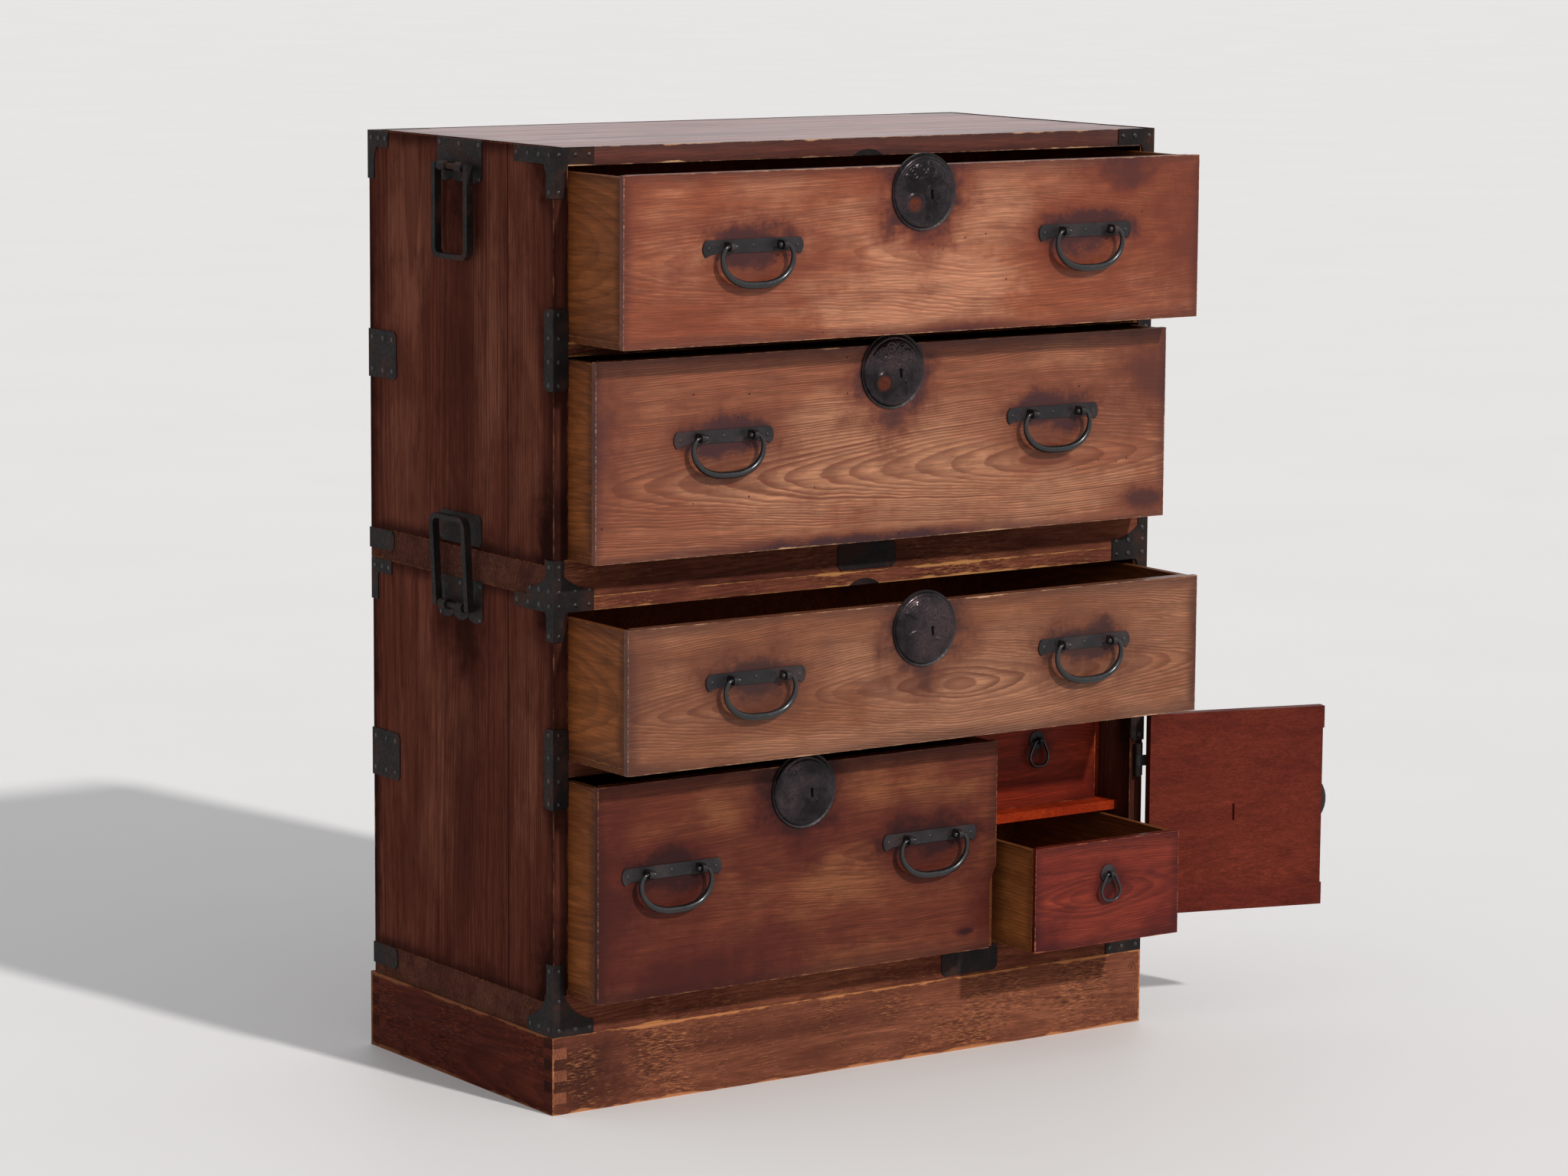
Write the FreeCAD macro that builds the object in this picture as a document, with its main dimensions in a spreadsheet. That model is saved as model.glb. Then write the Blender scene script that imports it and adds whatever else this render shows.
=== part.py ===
import FreeCAD, Part
import math
import os
import Sketcher
from types import SimpleNamespace

# A two-section clothing chest: a low plinth, a lower chest with two drawers and a small compartment
# behind a hinged door, and an upper chest with two drawers.
# Z is up, the front looks along -Y and X = 0 is the middle of the width. The origin lies on the
# underside of the plinth's front rail, in the middle of its length and of its thickness.
# All lengths are in millimetres.

SIZES = {
    # The two cases
    "case_width": 900.0,
    "side_board": 20.0,
    "plank_seam": 103.0,
    "back_board": 12.0,
    "back_rebate": 8.0,
    "housing": 6.0,
    "dust_board": 10.0,
    "rail_width": 40.0,
    # The plinth and its box joints
    "plinth_height": 96.0,
    "plinth_rail": 20.0,
    "plinth_front_proud": 1.0,
    "plinth_side_proud": 2.0,
    "plinth_back_proud": 8.0,
    "plinth_tongues": 3,
    # The lower chest, from its foot upwards
    "case_depth": 428.0,
    "lower_base": 50.0,
    "lower_band": 40.0,
    "drawer_4_bay": 267.0,
    "lower_rail": 21.0,
    "drawer_3_bay": 179.0,
    "lower_top": 17.0,
    "compartment_width": 248.5,
    "partition_board": 16.0,
    # The upper chest, from its foot upwards
    "upper_deeper": 4.0,
    "upper_base": 46.0,
    "upper_band": 38.0,
    "drawer_2_bay": 242.5,
    "upper_rail": 17.0,
    "drawer_1_bay": 208.5,
    "upper_top": 22.0,
    # The large drawers
    "drawer_front": 16.0,
    "drawer_lip": 8.0,
    "drawer_wall": 10.0,
    "drawer_bottom": 8.0,
    "drawer_gap": 1.0,
    "seat_gap": 0.3,
    "wall_drop": 2.0,
    "drawer_back_gap": 12.0,
    "drawer_1_out": 120.0,
    "drawer_2_out": 60.0,
    "drawer_3_out": 131.0,
    "drawer_4_out": 66.0,
    "drawer_1_headroom": 5.0,
    "drawer_2_headroom": 1.5,
    "drawer_3_headroom": 5.0,
    "drawer_4_headroom": 2.6,
    "handle_1_drop": 87.0,
    "handle_2_drop": 97.0,
    "handle_3_drop": 70.0,
    "handle_4_drop": 110.0,
    "handle_inset": 181.0,
    "handle_4_inset": 104.75,
    "chip_width": 9.5,
    "chip_height": 85.0,
    "chip_slope": 20.0,
    # The compartment and its two small drawers
    "shelf_foot": 135.0,
    "shelf_board": 12.0,
    "shelf_setback": 25.0,
    "lining_board": 17.0,
    "lining_setback": 66.0,
    "small_front": 12.0,
    "small_lip": 6.0,
    "small_wall": 7.0,
    "small_bottom": 5.0,
    "small_gap": 1.0,
    "small_back_gap": 10.0,
    "small_lower_out": 125.0,
    "small_lower_setback": 66.0,
    "small_lower_headroom": 2.0,
    "small_upper_setback": 50.0,
    "small_upper_headroom": 4.0,
    "small_lower_ring_drop": 43.0,
    "small_upper_ring_drop": 30.0,
    "small_upper_ring_offset": 18.0,
    # The compartment's door
    "door_board": 15.0,
    "door_free_gap": 1.5,
    "door_hinge_gap": 1.0,
    "door_foot_gap": 1.0,
    "door_head_gap": 2.0,
    "door_end_board": 29.0,
    "door_end_shrink": 2.0,
    "door_tongue": 6.0,
    "door_open_angle": 164.0,
    "door_lock_inset": 26.4,
    "door_lock_height": 137.6,
    "mortise_width": 4.0,
    "mortise_height": 22.0,
    "mortise_depth": 3.0,
    "mortise_inset": 128.0,
    "mortise_rise": 119.0,
    # The hinges, with the pin's axis in front of the side board's edge
    "pin_inset": 11.0,
    "pin_reach": 4.5,
    "pin_radius": 1.8,
    "knuckle_radius": 4.0,
    "knuckle_height": 14.0,
    "knuckle_gap": 0.3,
    "hinge_leaf": 30.0,
    "hinge_margin": 62.0,
    "hinge_clearance": 0.08,
    # Sheet ironwork
    "iron_sheet": 1.5,
    "arm_width": 20.0,
    "edge_width": 14.0,
    "front_arm": 56.0,
    "side_arm": 87.0,
    "foot_arm": 58.0,
    "rear_arm": 48.0,
    "top_arm": 78.0,
    "top_drop": 60.0,
    "joint_drop": 52.0,
    "foot_rise": 89.0,
    "edge_iron_height": 98.0,
    "back_iron_height": 60.0,
    "back_iron_arm": 66.0,
    "strike_width": 46.0,
    "strike_height": 8.0,
    "strike_shift": 4.0,
    "base_plate_width": 88.0,
    "base_plate_height": 34.0,
    "base_plate_rise": 3.0,
    "base_plate_shift": 7.0,
    "plate_clip": 5.0,
    # Lock plates and lock cases
    "lock_radius": 47.0,
    "lock_drop": 32.0,
    "lock_dome": 8.0,
    "lock_rim": 2.6,
    "lock_rim_width": 2.5,
    "lock_sheet": 1.4,
    "door_lock_radius": 37.5,
    "keyhole_radius": 2.6,
    "keyhole_shift": 8.0,
    "keyhole_slot": 3.0,
    "keyhole_length": 9.0,
    "lock_case_width": 70.0,
    "lock_case_height": 46.0,
    "lock_case_depth": 12.0,
    # Bail handles of the large drawers
    "handle_length": 143.0,
    "handle_height": 16.0,
    "handle_droop": 4.5,
    "handle_sheet": 2.0,
    "post_inset": 33.5,
    "post_reach": 12.0,
    "post_width": 6.0,
    "eye_radius": 5.4,
    "eye_clearance": 0.08,
    "bail_pin": 2.5,
    "bail_bead": 3.6,
    "bail_reach": 16.0,
    "bail_drop": 51.0,
    "bail_belly": 4.7,
    # Ring pulls of the small drawers
    "ring_plate_radius": 12.0,
    "ring_plate_rise": 2.8,
    "ring_post_reach": 7.0,
    "ring_post_width": 3.4,
    "ring_eye_radius": 4.2,
    "ring_bar": 1.9,
    "ring_width": 33.0,
    "ring_drop": 37.0,
    # Carrying handles on the chests' sides
    "carry_plate_width": 104.0,
    "carry_plate_height": 52.0,
    "carry_centre": 212.0,
    "carry_pin_drop": 33.0,
    "carry_reach": 12.0,
    "carry_knuckle_radius": 6.2,
    "carry_knuckle_length": 16.0,
    "carry_knuckle_spread": 40.0,
    "carry_pin": 3.6,
    "carry_clearance": 0.08,
    "carry_width": 84.0,
    "carry_length": 112.0,
    "carry_bar": 9.0,
    "carry_cross_bar": 6.0,
    "carry_corner": 14.0,
    "carry_lobe": 6.0,
    "carry_rest_gap": 0.4,
    "backing_width": 98.0,
    "backing_height": 38.0,
    "backing_rise": 43.0,
    # One overrun for every cutting solid
    "overrun": 2.0,
}

doc = FreeCAD.newDocument("clothing_chest")
sheet = doc.addObject("Spreadsheet::Sheet", "Sizes")
for row, (alias, number) in enumerate(SIZES.items(), start=1):
    sheet.set(f"A{row}", alias)
    sheet.set(f"B{row}", str(number))
    sheet.setAlias(f"B{row}", alias)
doc.recompute()


class Size:
    """A value worked out from the sheet, together with the formula that binds it there."""

    def __init__(self, value, formula):
        self.value = float(value)
        self.formula = formula

    @staticmethod
    def of(other):
        """The other operand as a Size, whether it is one or a plain number."""
        return other if isinstance(other, Size) else Size(other, repr(float(other)))

    def _with(self, sign, other, value):
        return Size(value, f"({self.formula} {sign} {Size.of(other).formula})")

    def __add__(self, other):
        return self._with("+", other, self.value + Size.of(other).value)

    def __sub__(self, other):
        return self._with("-", other, self.value - Size.of(other).value)

    def __mul__(self, other):
        return self._with("*", other, self.value * Size.of(other).value)

    def __truediv__(self, other):
        return self._with("/", other, self.value / Size.of(other).value)

    def __radd__(self, other):
        return Size.of(other) + self

    def __rsub__(self, other):
        return Size.of(other) - self

    def __rmul__(self, other):
        return Size.of(other) * self

    def __neg__(self):
        return Size(-self.value, f"(-1 * {self.formula})")

    def root(self):
        """The square root."""
        return Size(math.sqrt(self.value), f"sqrt({self.formula})")


s = SimpleNamespace(**{alias: Size(sheet.get(alias), f"Sizes.{alias}") for alias in SIZES})
ZERO = Size(0, "0")


def bind(item, **formulas):
    """Tie properties of an object to sizes."""
    for name, amount in formulas.items():
        item.setExpression(name, Size.of(amount).formula)


def seat(item, x=ZERO, y=ZERO, z=ZERO):
    """Put an object's own origin at a place that follows the sheet."""
    for axis, amount in zip("xyz", (x, y, z)):
        item.setExpression(f".Placement.Base.{axis}", Size.of(amount).formula)
    return item


def turn(item, axis, angle):
    """Turn an object about an axis through its own origin, before it is seated."""
    item.Placement = FreeCAD.Placement(FreeCAD.Vector(), FreeCAD.Rotation(axis, Size.of(angle).value))
    item.setExpression(".Placement.Rotation.Angle", Size.of(angle).formula)
    return item


def board(name, corner, extent):
    """A square-edged board from its low corner and its extent along X, Y and Z."""
    box = doc.addObject("Part::Box", name)
    bind(box, Length=extent[0], Width=extent[1], Height=extent[2])
    return seat(box, *corner)


ALONG_X = FreeCAD.Rotation(FreeCAD.Vector(0, 1, 0), 90)
ALONG_Y = FreeCAD.Rotation(FreeCAD.Vector(1, 0, 0), -90)
ALONG_Z = FreeCAD.Rotation()


def rod(name, along, start, radius, length):
    """A round rod that starts at a point and runs along one axis."""
    cylinder = doc.addObject("Part::Cylinder", name)
    cylinder.Placement = FreeCAD.Placement(FreeCAD.Vector(), along)
    bind(cylinder, Radius=radius, Height=length)
    return seat(cylinder, *start)


def joined(name, *pieces):
    """One solid from pieces that touch or overlap."""
    fusion = doc.addObject("Part::MultiFuse", name)
    fusion.Shapes = list(pieces)
    return fusion


def without(name, base, *tools):
    """A piece less the material that other pieces take up."""
    for index, tool in enumerate(tools):
        cut = doc.addObject("Part::Cut", name if index == len(tools) - 1 else f"{name}_less_{index}")
        cut.Base = base
        cut.Tool = tool
        base = cut
    return base


def grouped(name, *pieces):
    """Separate solids that belong to one piece of the chest."""
    group = doc.addObject("Part::Compound", name)
    group.Links = list(pieces)
    return group


def reflected(name, source, normal, offset=ZERO):
    """The mirror image of a piece across a plane square to X or Y."""
    image = doc.addObject("Part::Mirroring", name)
    image.Source = source
    image.Normal = FreeCAD.Vector(*normal)
    image.setExpression(".Base.x" if normal[0] else ".Base.y", Size.of(offset).formula)
    return image


ACROSS = (1, 0, 0)
FRONT_TO_BACK = (0, 1, 0)


def new_body(name):
    """An empty body."""
    return doc.addObject("PartDesign::Body", name)


def outline(body, name, plane, *courses):
    """A sketch of closed outlines on one of the body's own planes.

    Each course lists its corners as pairs of sizes. A corner written with a third entry, "via", is a
    point that an arc passes through between its two neighbours.
    """
    sketch = body.newObject("Sketcher::SketchObject", name)
    support = next(item for item in body.Origin.OriginFeatures if item.Role == plane)
    sketch.AttachmentSupport = (support, [""])
    sketch.MapMode = "FlatFace"
    for course in courses:
        draw_course(sketch, course)
    return sketch


def pin_point(sketch, geometry, end, corner):
    """Hold one point of the sketch at its two sizes from the origin."""
    for kind, amount in (("DistanceX", corner[0]), ("DistanceY", corner[1])):
        held = Sketcher.Constraint(kind, -1, 1, geometry, end, Size.of(amount).value)
        index = sketch.addConstraint(held)
        sketch.setExpression(f"Constraints[{index}]", Size.of(amount).formula)


def draw_course(sketch, course):
    """Draw one closed outline and pin each of its corners."""
    points = [FreeCAD.Vector(Size.of(c[0]).value, Size.of(c[1]).value, 0) for c in course]
    count = len(course)
    for start in range(count):
        if len(course[start]) > 2:
            continue
        middle = (start + 1) % count
        bowed = len(course[middle]) > 2
        stop = (start + 2) % count if bowed else middle
        if not bowed:
            line = sketch.addGeometry(Part.LineSegment(points[start], points[stop]), False)
            pin_point(sketch, line, 1, course[start])
            pin_point(sketch, line, 2, course[stop])
            continue
        arc = sketch.addGeometry(Part.Arc(points[start], points[middle], points[stop]), False)
        marker = sketch.addGeometry(Part.Point(points[middle]), True)
        sketch.addConstraint(Sketcher.Constraint("PointOnObject", marker, 1, arc))
        pin_point(sketch, marker, 1, course[middle])
        begins_at_start = sketch.getPoint(arc, 1).distanceToPoint(points[start]) < \
            sketch.getPoint(arc, 2).distanceToPoint(points[start])
        pin_point(sketch, arc, 1 if begins_at_start else 2, course[start])
        pin_point(sketch, arc, 2 if begins_at_start else 1, course[stop])


def rectangle(low, high):
    """The course of a rectangle between two opposite corners."""
    return ((low[0], low[1]), (high[0], low[1]), (high[0], high[1]), (low[0], high[1]))


def raised(body, name, sketch, length, backwards=False):
    """Raise a sketch into a solid, along its plane's normal or against it."""
    pad = body.newObject("PartDesign::Pad", name)
    pad.Profile = sketch
    pad.Reversed = backwards
    bind(pad, Length=length)
    return pad


def cut_through(body, name, sketch, length):
    """Cut a sketch away to both sides of its plane."""
    pocket = body.newObject("PartDesign::Pocket", name)
    pocket.Profile = sketch
    pocket.Midplane = True
    bind(pocket, Length=length)
    return pocket


nodes = {}


def keep(label, item):
    """Name one finished sub-part."""
    item.Label = label
    nodes[label] = item
    return item


# Levels and planes that several pieces share
left = -s.case_width / 2
lower_depth = s.case_depth
upper_depth = s.case_depth + s.upper_deeper
front = s.plinth_front_proud - s.plinth_rail / 2
inner_left = left + s.side_board
inner_width = s.case_width - 2 * s.side_board
lower_floor = s.plinth_height + s.lower_base
lower_rail_foot = lower_floor + s.drawer_4_bay
lower_shelf_head = lower_rail_foot + s.lower_rail
lower_ceiling = lower_shelf_head + s.drawer_3_bay
lower_head = lower_ceiling + s.lower_top
upper_floor = lower_head + s.upper_base
upper_rail_foot = upper_floor + s.drawer_2_bay
upper_shelf_head = upper_rail_foot + s.upper_rail
upper_ceiling = upper_shelf_head + s.drawer_1_bay
upper_head = upper_ceiling + s.upper_top
partition_right = -left - s.side_board - s.compartment_width
partition_left = partition_right - s.partition_board


def plinth_rail(name, length, at_ends):
    """A rail with box-joint notches at both ends.

    The tongues of a long rail and of an end rail share the plinth's height equally. A long rail is
    notched between its tongues, an end rail where the long rail's tongues pass through.
    """
    tongue = s.plinth_height / (2 * s.plinth_tongues + 1)
    body = new_body(name)
    half = length / 2
    plan = rectangle((-half, -s.plinth_rail / 2), (half, s.plinth_rail / 2))
    raised(body, f"{name}_bar", outline(body, f"{name}_plan", "XY_Plane", plan), s.plinth_height)
    notch_foot = ZERO if at_ends else tongue
    low_notches = (
        rectangle((-half - s.overrun, notch_foot), (s.plinth_rail - half, notch_foot + tongue)),
        rectangle((half - s.plinth_rail, notch_foot), (half + s.overrun, notch_foot + tongue)),
    )
    sketch = outline(body, f"{name}_notch_outline", "XZ_Plane", *low_notches)
    notch = cut_through(body, f"{name}_notch", sketch, 2 * s.plinth_rail)
    doc.recompute()
    steps = s.plinth_tongues if at_ends else s.plinth_tongues - 1
    pattern = body.newObject("PartDesign::LinearPattern", f"{name}_notches")
    pattern.Originals = [notch]
    upright = next(item for item in body.Origin.OriginFeatures if item.Role == "Z_Axis")
    pattern.Direction = (upright, [""])
    bind(pattern, Length=2 * tongue * steps, Occurrences=steps + 1)
    body.Tip = pattern
    return body


plinth_length = s.case_width + 2 * s.plinth_side_proud
plinth_depth = s.plinth_front_proud + lower_depth + s.plinth_back_proud
front_rail = plinth_rail("front_rail", plinth_length, at_ends=False)
back_rail = grouped("back_rail", front_rail)
seat(back_rail, ZERO, plinth_depth - s.plinth_rail, ZERO)
keep("plinth_long_rails", grouped("long_rails", front_rail, back_rail))
end_rail = plinth_rail("end_rail", plinth_depth, at_ends=True)
end_rails = []
for side_name, side_sign in (("left", -1), ("right", 1)):
    placed_rail = grouped(f"{side_name}_end_rail", end_rail)
    turn(placed_rail, FreeCAD.Vector(0, 0, 1), 90)
    shift = side_sign * (plinth_length - s.plinth_rail) / 2
    end_rails.append(seat(placed_rail, shift, (plinth_depth - s.plinth_rail) / 2, ZERO))
keep("plinth_end_rails", grouped("end_rails", *end_rails))


def let_in(name, depth, head):
    """The shallow recesses at the back corners of a chest's top that take its irons' top leaves."""
    low = board(f"{name}_left", (left - s.overrun, front + depth - s.arm_width, head - s.iron_sheet),
                (s.top_arm + s.overrun, s.arm_width + s.overrun, s.iron_sheet + s.overrun))
    return low, reflected(f"{name}_right", low, ACROSS)


def case(name, foot, head, depth, base, band, top_board, shelf_foot, shelf_rail, leaf_recesses=()):
    """The fixed boards of one chest.

    Each side is two upright planks above a level band. The top board, the bottom board and the shelf
    are housed in the sides, and the back board lies in a rebate all round.
    """
    floor = foot + base
    top = board(f"{name}_top_blank", (inner_left - s.housing, front, head - top_board),
                (inner_width + 2 * s.housing, depth, top_board))
    back = board(f"{name}_back_blank",
                 (inner_left - s.back_rebate, front + depth - s.back_board, foot + band),
                 (inner_width + 2 * s.back_rebate, s.back_board, head - foot - band))
    bottom = board(f"{name}_bottom_blank",
                   (inner_left - s.housing, front + s.side_board, floor - s.dust_board),
                   (inner_width + 2 * s.housing, depth - s.side_board - s.back_board, s.dust_board))
    rail = board(f"{name}_shelf_rail", (inner_left - s.housing, front, shelf_foot),
                 (inner_width + 2 * s.housing, s.rail_width, shelf_rail))
    dust = board(f"{name}_dust_board",
                 (inner_left - s.housing, front + s.rail_width, shelf_foot + shelf_rail - s.dust_board),
                 (inner_width + 2 * s.housing, depth - s.rail_width - s.back_board, s.dust_board))
    base_front = board(f"{name}_base_front", (left, front, foot), (s.case_width, s.side_board, base))
    base_back = board(f"{name}_base_back_blank", (left, front + depth - s.side_board, foot),
                      (s.case_width, s.side_board, band))
    base_side = board(f"{name}_base_side_blank", (left, front + s.side_board, foot),
                      (s.side_board, depth - 2 * s.side_board, band))
    plank_front = board(f"{name}_plank_front_blank", (left, front, foot + band),
                        (s.side_board, s.plank_seam, head - foot - band))
    plank_back = board(f"{name}_plank_back_blank", (left, front + s.plank_seam, foot + band),
                       (s.side_board, depth - s.plank_seam, head - foot - band))
    housed = (top, back, bottom, rail, dust)
    planks = grouped(
        f"{name}_left_planks",
        without(f"{name}_plank_front", plank_front, base_front, top, bottom, rail, dust),
        without(f"{name}_plank_back", plank_back, *housed, *leaf_recesses[:1]),
    )
    left_band = without(f"{name}_base_side", base_side, bottom)
    keep(f"{name}_left_side", planks)
    keep(f"{name}_right_side", reflected(f"{name}_right_planks", planks, ACROSS))
    keep(f"{name}_base_rails", grouped(
        f"{name}_base", base_front, without(f"{name}_base_back", base_back, bottom), left_band,
        reflected(f"{name}_base_side_right", left_band, ACROSS)))
    keep(f"{name}_shelf", grouped(f"{name}_shelf_boards", rail, dust))
    return SimpleNamespace(top=top, back=back, bottom=bottom, rail=rail, dust=dust,
                           base_front=base_front)


lower = case("lower", s.plinth_height, lower_head, lower_depth, s.lower_base, s.lower_band,
             s.lower_top, lower_rail_foot, s.lower_rail)
leaf_recesses = let_in("leaf_recess", upper_depth, upper_head)
upper = case("upper", lower_head, upper_head, upper_depth, s.upper_base, s.upper_band,
             s.upper_top, upper_rail_foot, s.upper_rail, leaf_recesses)


def strike_blank(name, ceiling, thickness):
    """The half-round strike let into the top board's edge, where the lock plate overlaps it."""
    centre = s.strike_shift
    half = s.strike_width / 2
    body = new_body(name)
    bow = ((centre - half, ceiling), (centre, ceiling + s.strike_height, "via"), (centre + half, ceiling))
    sketch = outline(body, f"{name}_outline", "XZ_Plane", bow)
    raised(body, f"{name}_sheet", sketch, thickness, backwards=True)
    return seat(body, ZERO, front, ZERO)


lower_strike = strike_blank("lower_strike", lower_ceiling, s.iron_sheet)
upper_strike = strike_blank("upper_strike", upper_ceiling, s.iron_sheet)
keep("lower_top_board", without("lower_top", lower.top, lower.back, lower_strike))
keep("upper_top_board", without("upper_top", upper.top, upper.back, upper_strike, *leaf_recesses))
keep("lower_back_board", grouped("lower_back", lower.back))
keep("upper_back_board", without("upper_back", upper.back, *leaf_recesses))

# The partition stands between the bottom board and the shelf
partition = board("partition_board", (partition_left, front, lower_floor),
                  (s.partition_board, lower_depth - s.back_board, s.drawer_4_bay))
partition_head = board("partition_head",
                       (partition_left, front + s.rail_width, lower_rail_foot),
                       (s.partition_board, lower_depth - s.rail_width - s.back_board,
                        s.lower_rail - s.dust_board))
keep("lower_partition", joined("partition", partition, partition_head))
keep("lower_bottom_board", grouped("lower_bottom", lower.bottom))
keep("upper_bottom_board", grouped("upper_bottom", upper.bottom))

# The compartment's small shelf, with lining strips above and below it on the hinge side
compartment_right = inner_left + inner_width
shelf_level = lower_floor + s.shelf_foot
compartment_shelf = board(
    "compartment_shelf", (partition_right, front + s.shelf_setback, shelf_level),
    (compartment_right - partition_right, lower_depth - s.shelf_setback - s.back_board, s.shelf_board))
lining_left = compartment_right - s.lining_board
lining_depth = lower_depth - s.lining_setback - s.back_board
lining_low = board("lining_low", (lining_left, front + s.lining_setback, lower_floor),
                   (s.lining_board, lining_depth, s.shelf_foot))
lining_high_foot = shelf_level + s.shelf_board
lining_high = board("lining_high", (lining_left, front + s.lining_setback, lining_high_foot),
                    (s.lining_board, lining_depth, lower_rail_foot - lining_high_foot))
keep("compartment_lining", grouped("compartment_boards", compartment_shelf, lining_low, lining_high))


def hammered(name, sections):
    """A solid whose flats run from each section's edges to the next section's."""
    flats = []
    for first, second in zip(sections, sections[1:]):
        for index in range(len(first)):
            after = (index + 1) % len(first)
            flats.append([first[index], first[after], second[after], second[index]])
    flats += [sections[0], sections[-1]]
    shell = Part.makeShell([Part.Face(Part.makePolygon(flat + flat[:1])) for flat in flats])
    shell.sewShape()
    solid = Part.makeSolid(shell)
    if solid.Volume < 0:
        solid.reverse()
    item = doc.addObject("Part::Feature", name)
    item.Shape = solid
    return item


# How many flats the smith's hammer left round a lock plate, and round a ring pull's plate
LOCK_FLATS = 32
RING_PLATE_FLATS = 18
# Where the dome's bands of flats meet, and where its hollow does, as shares of its radius
DOME_BAND_SHARES = (0.72, 0.36)
HOLLOW_SHARE = 0.45


def round_sections(flats, course):
    """Many-sided sections about the Y axis, from pairs of a radius and a height towards -Y."""
    sections = []
    for radius, height in course:
        corners = []
        for index in range(flats):
            angle = 2 * math.pi * (index + 0.5) / flats
            corners.append(FreeCAD.Vector(radius.value * math.cos(angle), -height.value,
                                          radius.value * math.sin(angle)))
        sections.append(corners)
    return sections


def lock_plate_form(name, radius):
    """A round plate hammered into a dome, with a raised rim and a keyhole, that faces -Y."""
    inner = radius - s.lock_rim_width
    swell = s.lock_dome - s.lock_sheet
    sphere = (inner * inner + swell * swell) / (2 * swell)

    def at(share, sheet):
        """A point of the dome at a share of its radius, over or under its sheet."""
        out = inner * share
        return out, (sphere * sphere - out * out).root() - sphere + swell + sheet

    course = [at(HOLLOW_SHARE, ZERO), (inner, ZERO), (radius, ZERO), (radius, s.lock_rim),
              (inner, s.lock_sheet), *(at(share, s.lock_sheet) for share in DOME_BAND_SHARES)]
    dome = hammered(f"{name}_dome", round_sections(LOCK_FLATS, course))
    deep = s.lock_dome + 2 * s.overrun
    slot = board(f"{name}_slot", (s.keyhole_shift - s.keyhole_slot / 2, -s.lock_dome - s.overrun,
                                  -s.keyhole_length),
                 (s.keyhole_slot, deep, s.keyhole_length + s.keyhole_radius))
    eye = rod(f"{name}_eye", ALONG_Y, (s.keyhole_shift, -s.lock_dome - s.overrun, s.keyhole_radius),
              s.keyhole_radius, deep)
    return without(name, dome, joined(f"{name}_keyhole", slot, eye))


lock_plate = lock_plate_form("lock_plate_form", s.lock_radius)
door_lock_plate = lock_plate_form("door_lock_plate_form", s.door_lock_radius)
ring_plate = hammered("ring_plate_form", round_sections(RING_PLATE_FLATS, (
    (s.ring_plate_radius, ZERO),
    (s.ring_plate_radius, s.lock_sheet),
    (s.ring_eye_radius, s.ring_plate_rise),
)))


def eye_post(name, reach, width, radius, bore):
    """A post that stands off a face and ends in an eye bored along X, at the origin."""
    stem = board(f"{name}_stem", (-width / 2, ZERO, -radius), (width, reach, 2 * radius))
    ring = rod(f"{name}_ring", ALONG_X, (-width / 2, ZERO, ZERO), radius, width)
    hole = rod(f"{name}_bore", ALONG_X, (-width / 2 - s.overrun, ZERO, ZERO), bore,
               width + 2 * s.overrun)
    return without(name, joined(f"{name}_solid", stem, ring), hole)


# The posts stand at a fixed inset from the plate's ends, and the bail reaches out beyond them
post_spread = s.handle_length - 2 * s.post_inset
bail_width = post_spread + 2 * s.bail_reach
post = eye_post("eye_post_form", s.post_reach, s.post_width, s.eye_radius,
                s.bail_pin + s.eye_clearance)


def handle_plate_form():
    """A long handle plate with drooping ends and the two eye posts that carry its bail."""
    half = s.handle_length / 2
    high = s.handle_height / 2
    droop = s.handle_droop
    body = new_body("handle_plate_sheet")
    sheet_outline = outline(body, "handle_plate_outline", "XZ_Plane", (
        (-half + droop, high),
        (half - droop, high),
        (half, ZERO, "via"),
        (half - droop, -high - droop),
        (half - 2 * droop, -high - droop / 2, "via"),
        (half - 4 * droop, -high),
        (4 * droop - half, -high),
        (2 * droop - half, -high - droop / 2, "via"),
        (droop - half, -high - droop),
        (-half, ZERO, "via"),
    ))
    raised(body, "handle_plate_pad", sheet_outline, s.handle_sheet)
    posts = []
    for side in (-1, 1):
        placed = grouped(f"handle_post_{'right' if side > 0 else 'left'}", post)
        posts.append(seat(placed, side * post_spread / 2, -s.post_reach, ZERO))
    return joined("handle_plate_form", body, *posts)


handle_plate = handle_plate_form()


# How many flats a forged bar has round it
BAR_FLATS = 8
# Thickness of a bar's first section inside its round pin, as a share of the pin's
PIN_ROOT_SHARE = 0.93


def square_section(x, z, radius):
    """The corners of a bar's section square to X, with flats to the front and the back."""
    corners = []
    for index in range(BAR_FLATS):
        angle = 2 * math.pi * (index + 0.5) / BAR_FLATS
        corners.append(FreeCAD.Vector(x, radius * math.sin(angle), z + radius * math.cos(angle)))
    return corners


def carried_section(corners, place, radius, next_place, next_radius, heading):
    """A section's corners carried along its bar's taper to the next mitre, which keeps the flats flat."""
    run = next_place - place
    carried = []
    for corner in corners:
        ray = run + (corner - place) * (next_radius / radius - 1)
        carried.append(corner + ray * ((next_place - corner).dot(heading) / ray.dot(heading)))
    return carried


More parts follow.
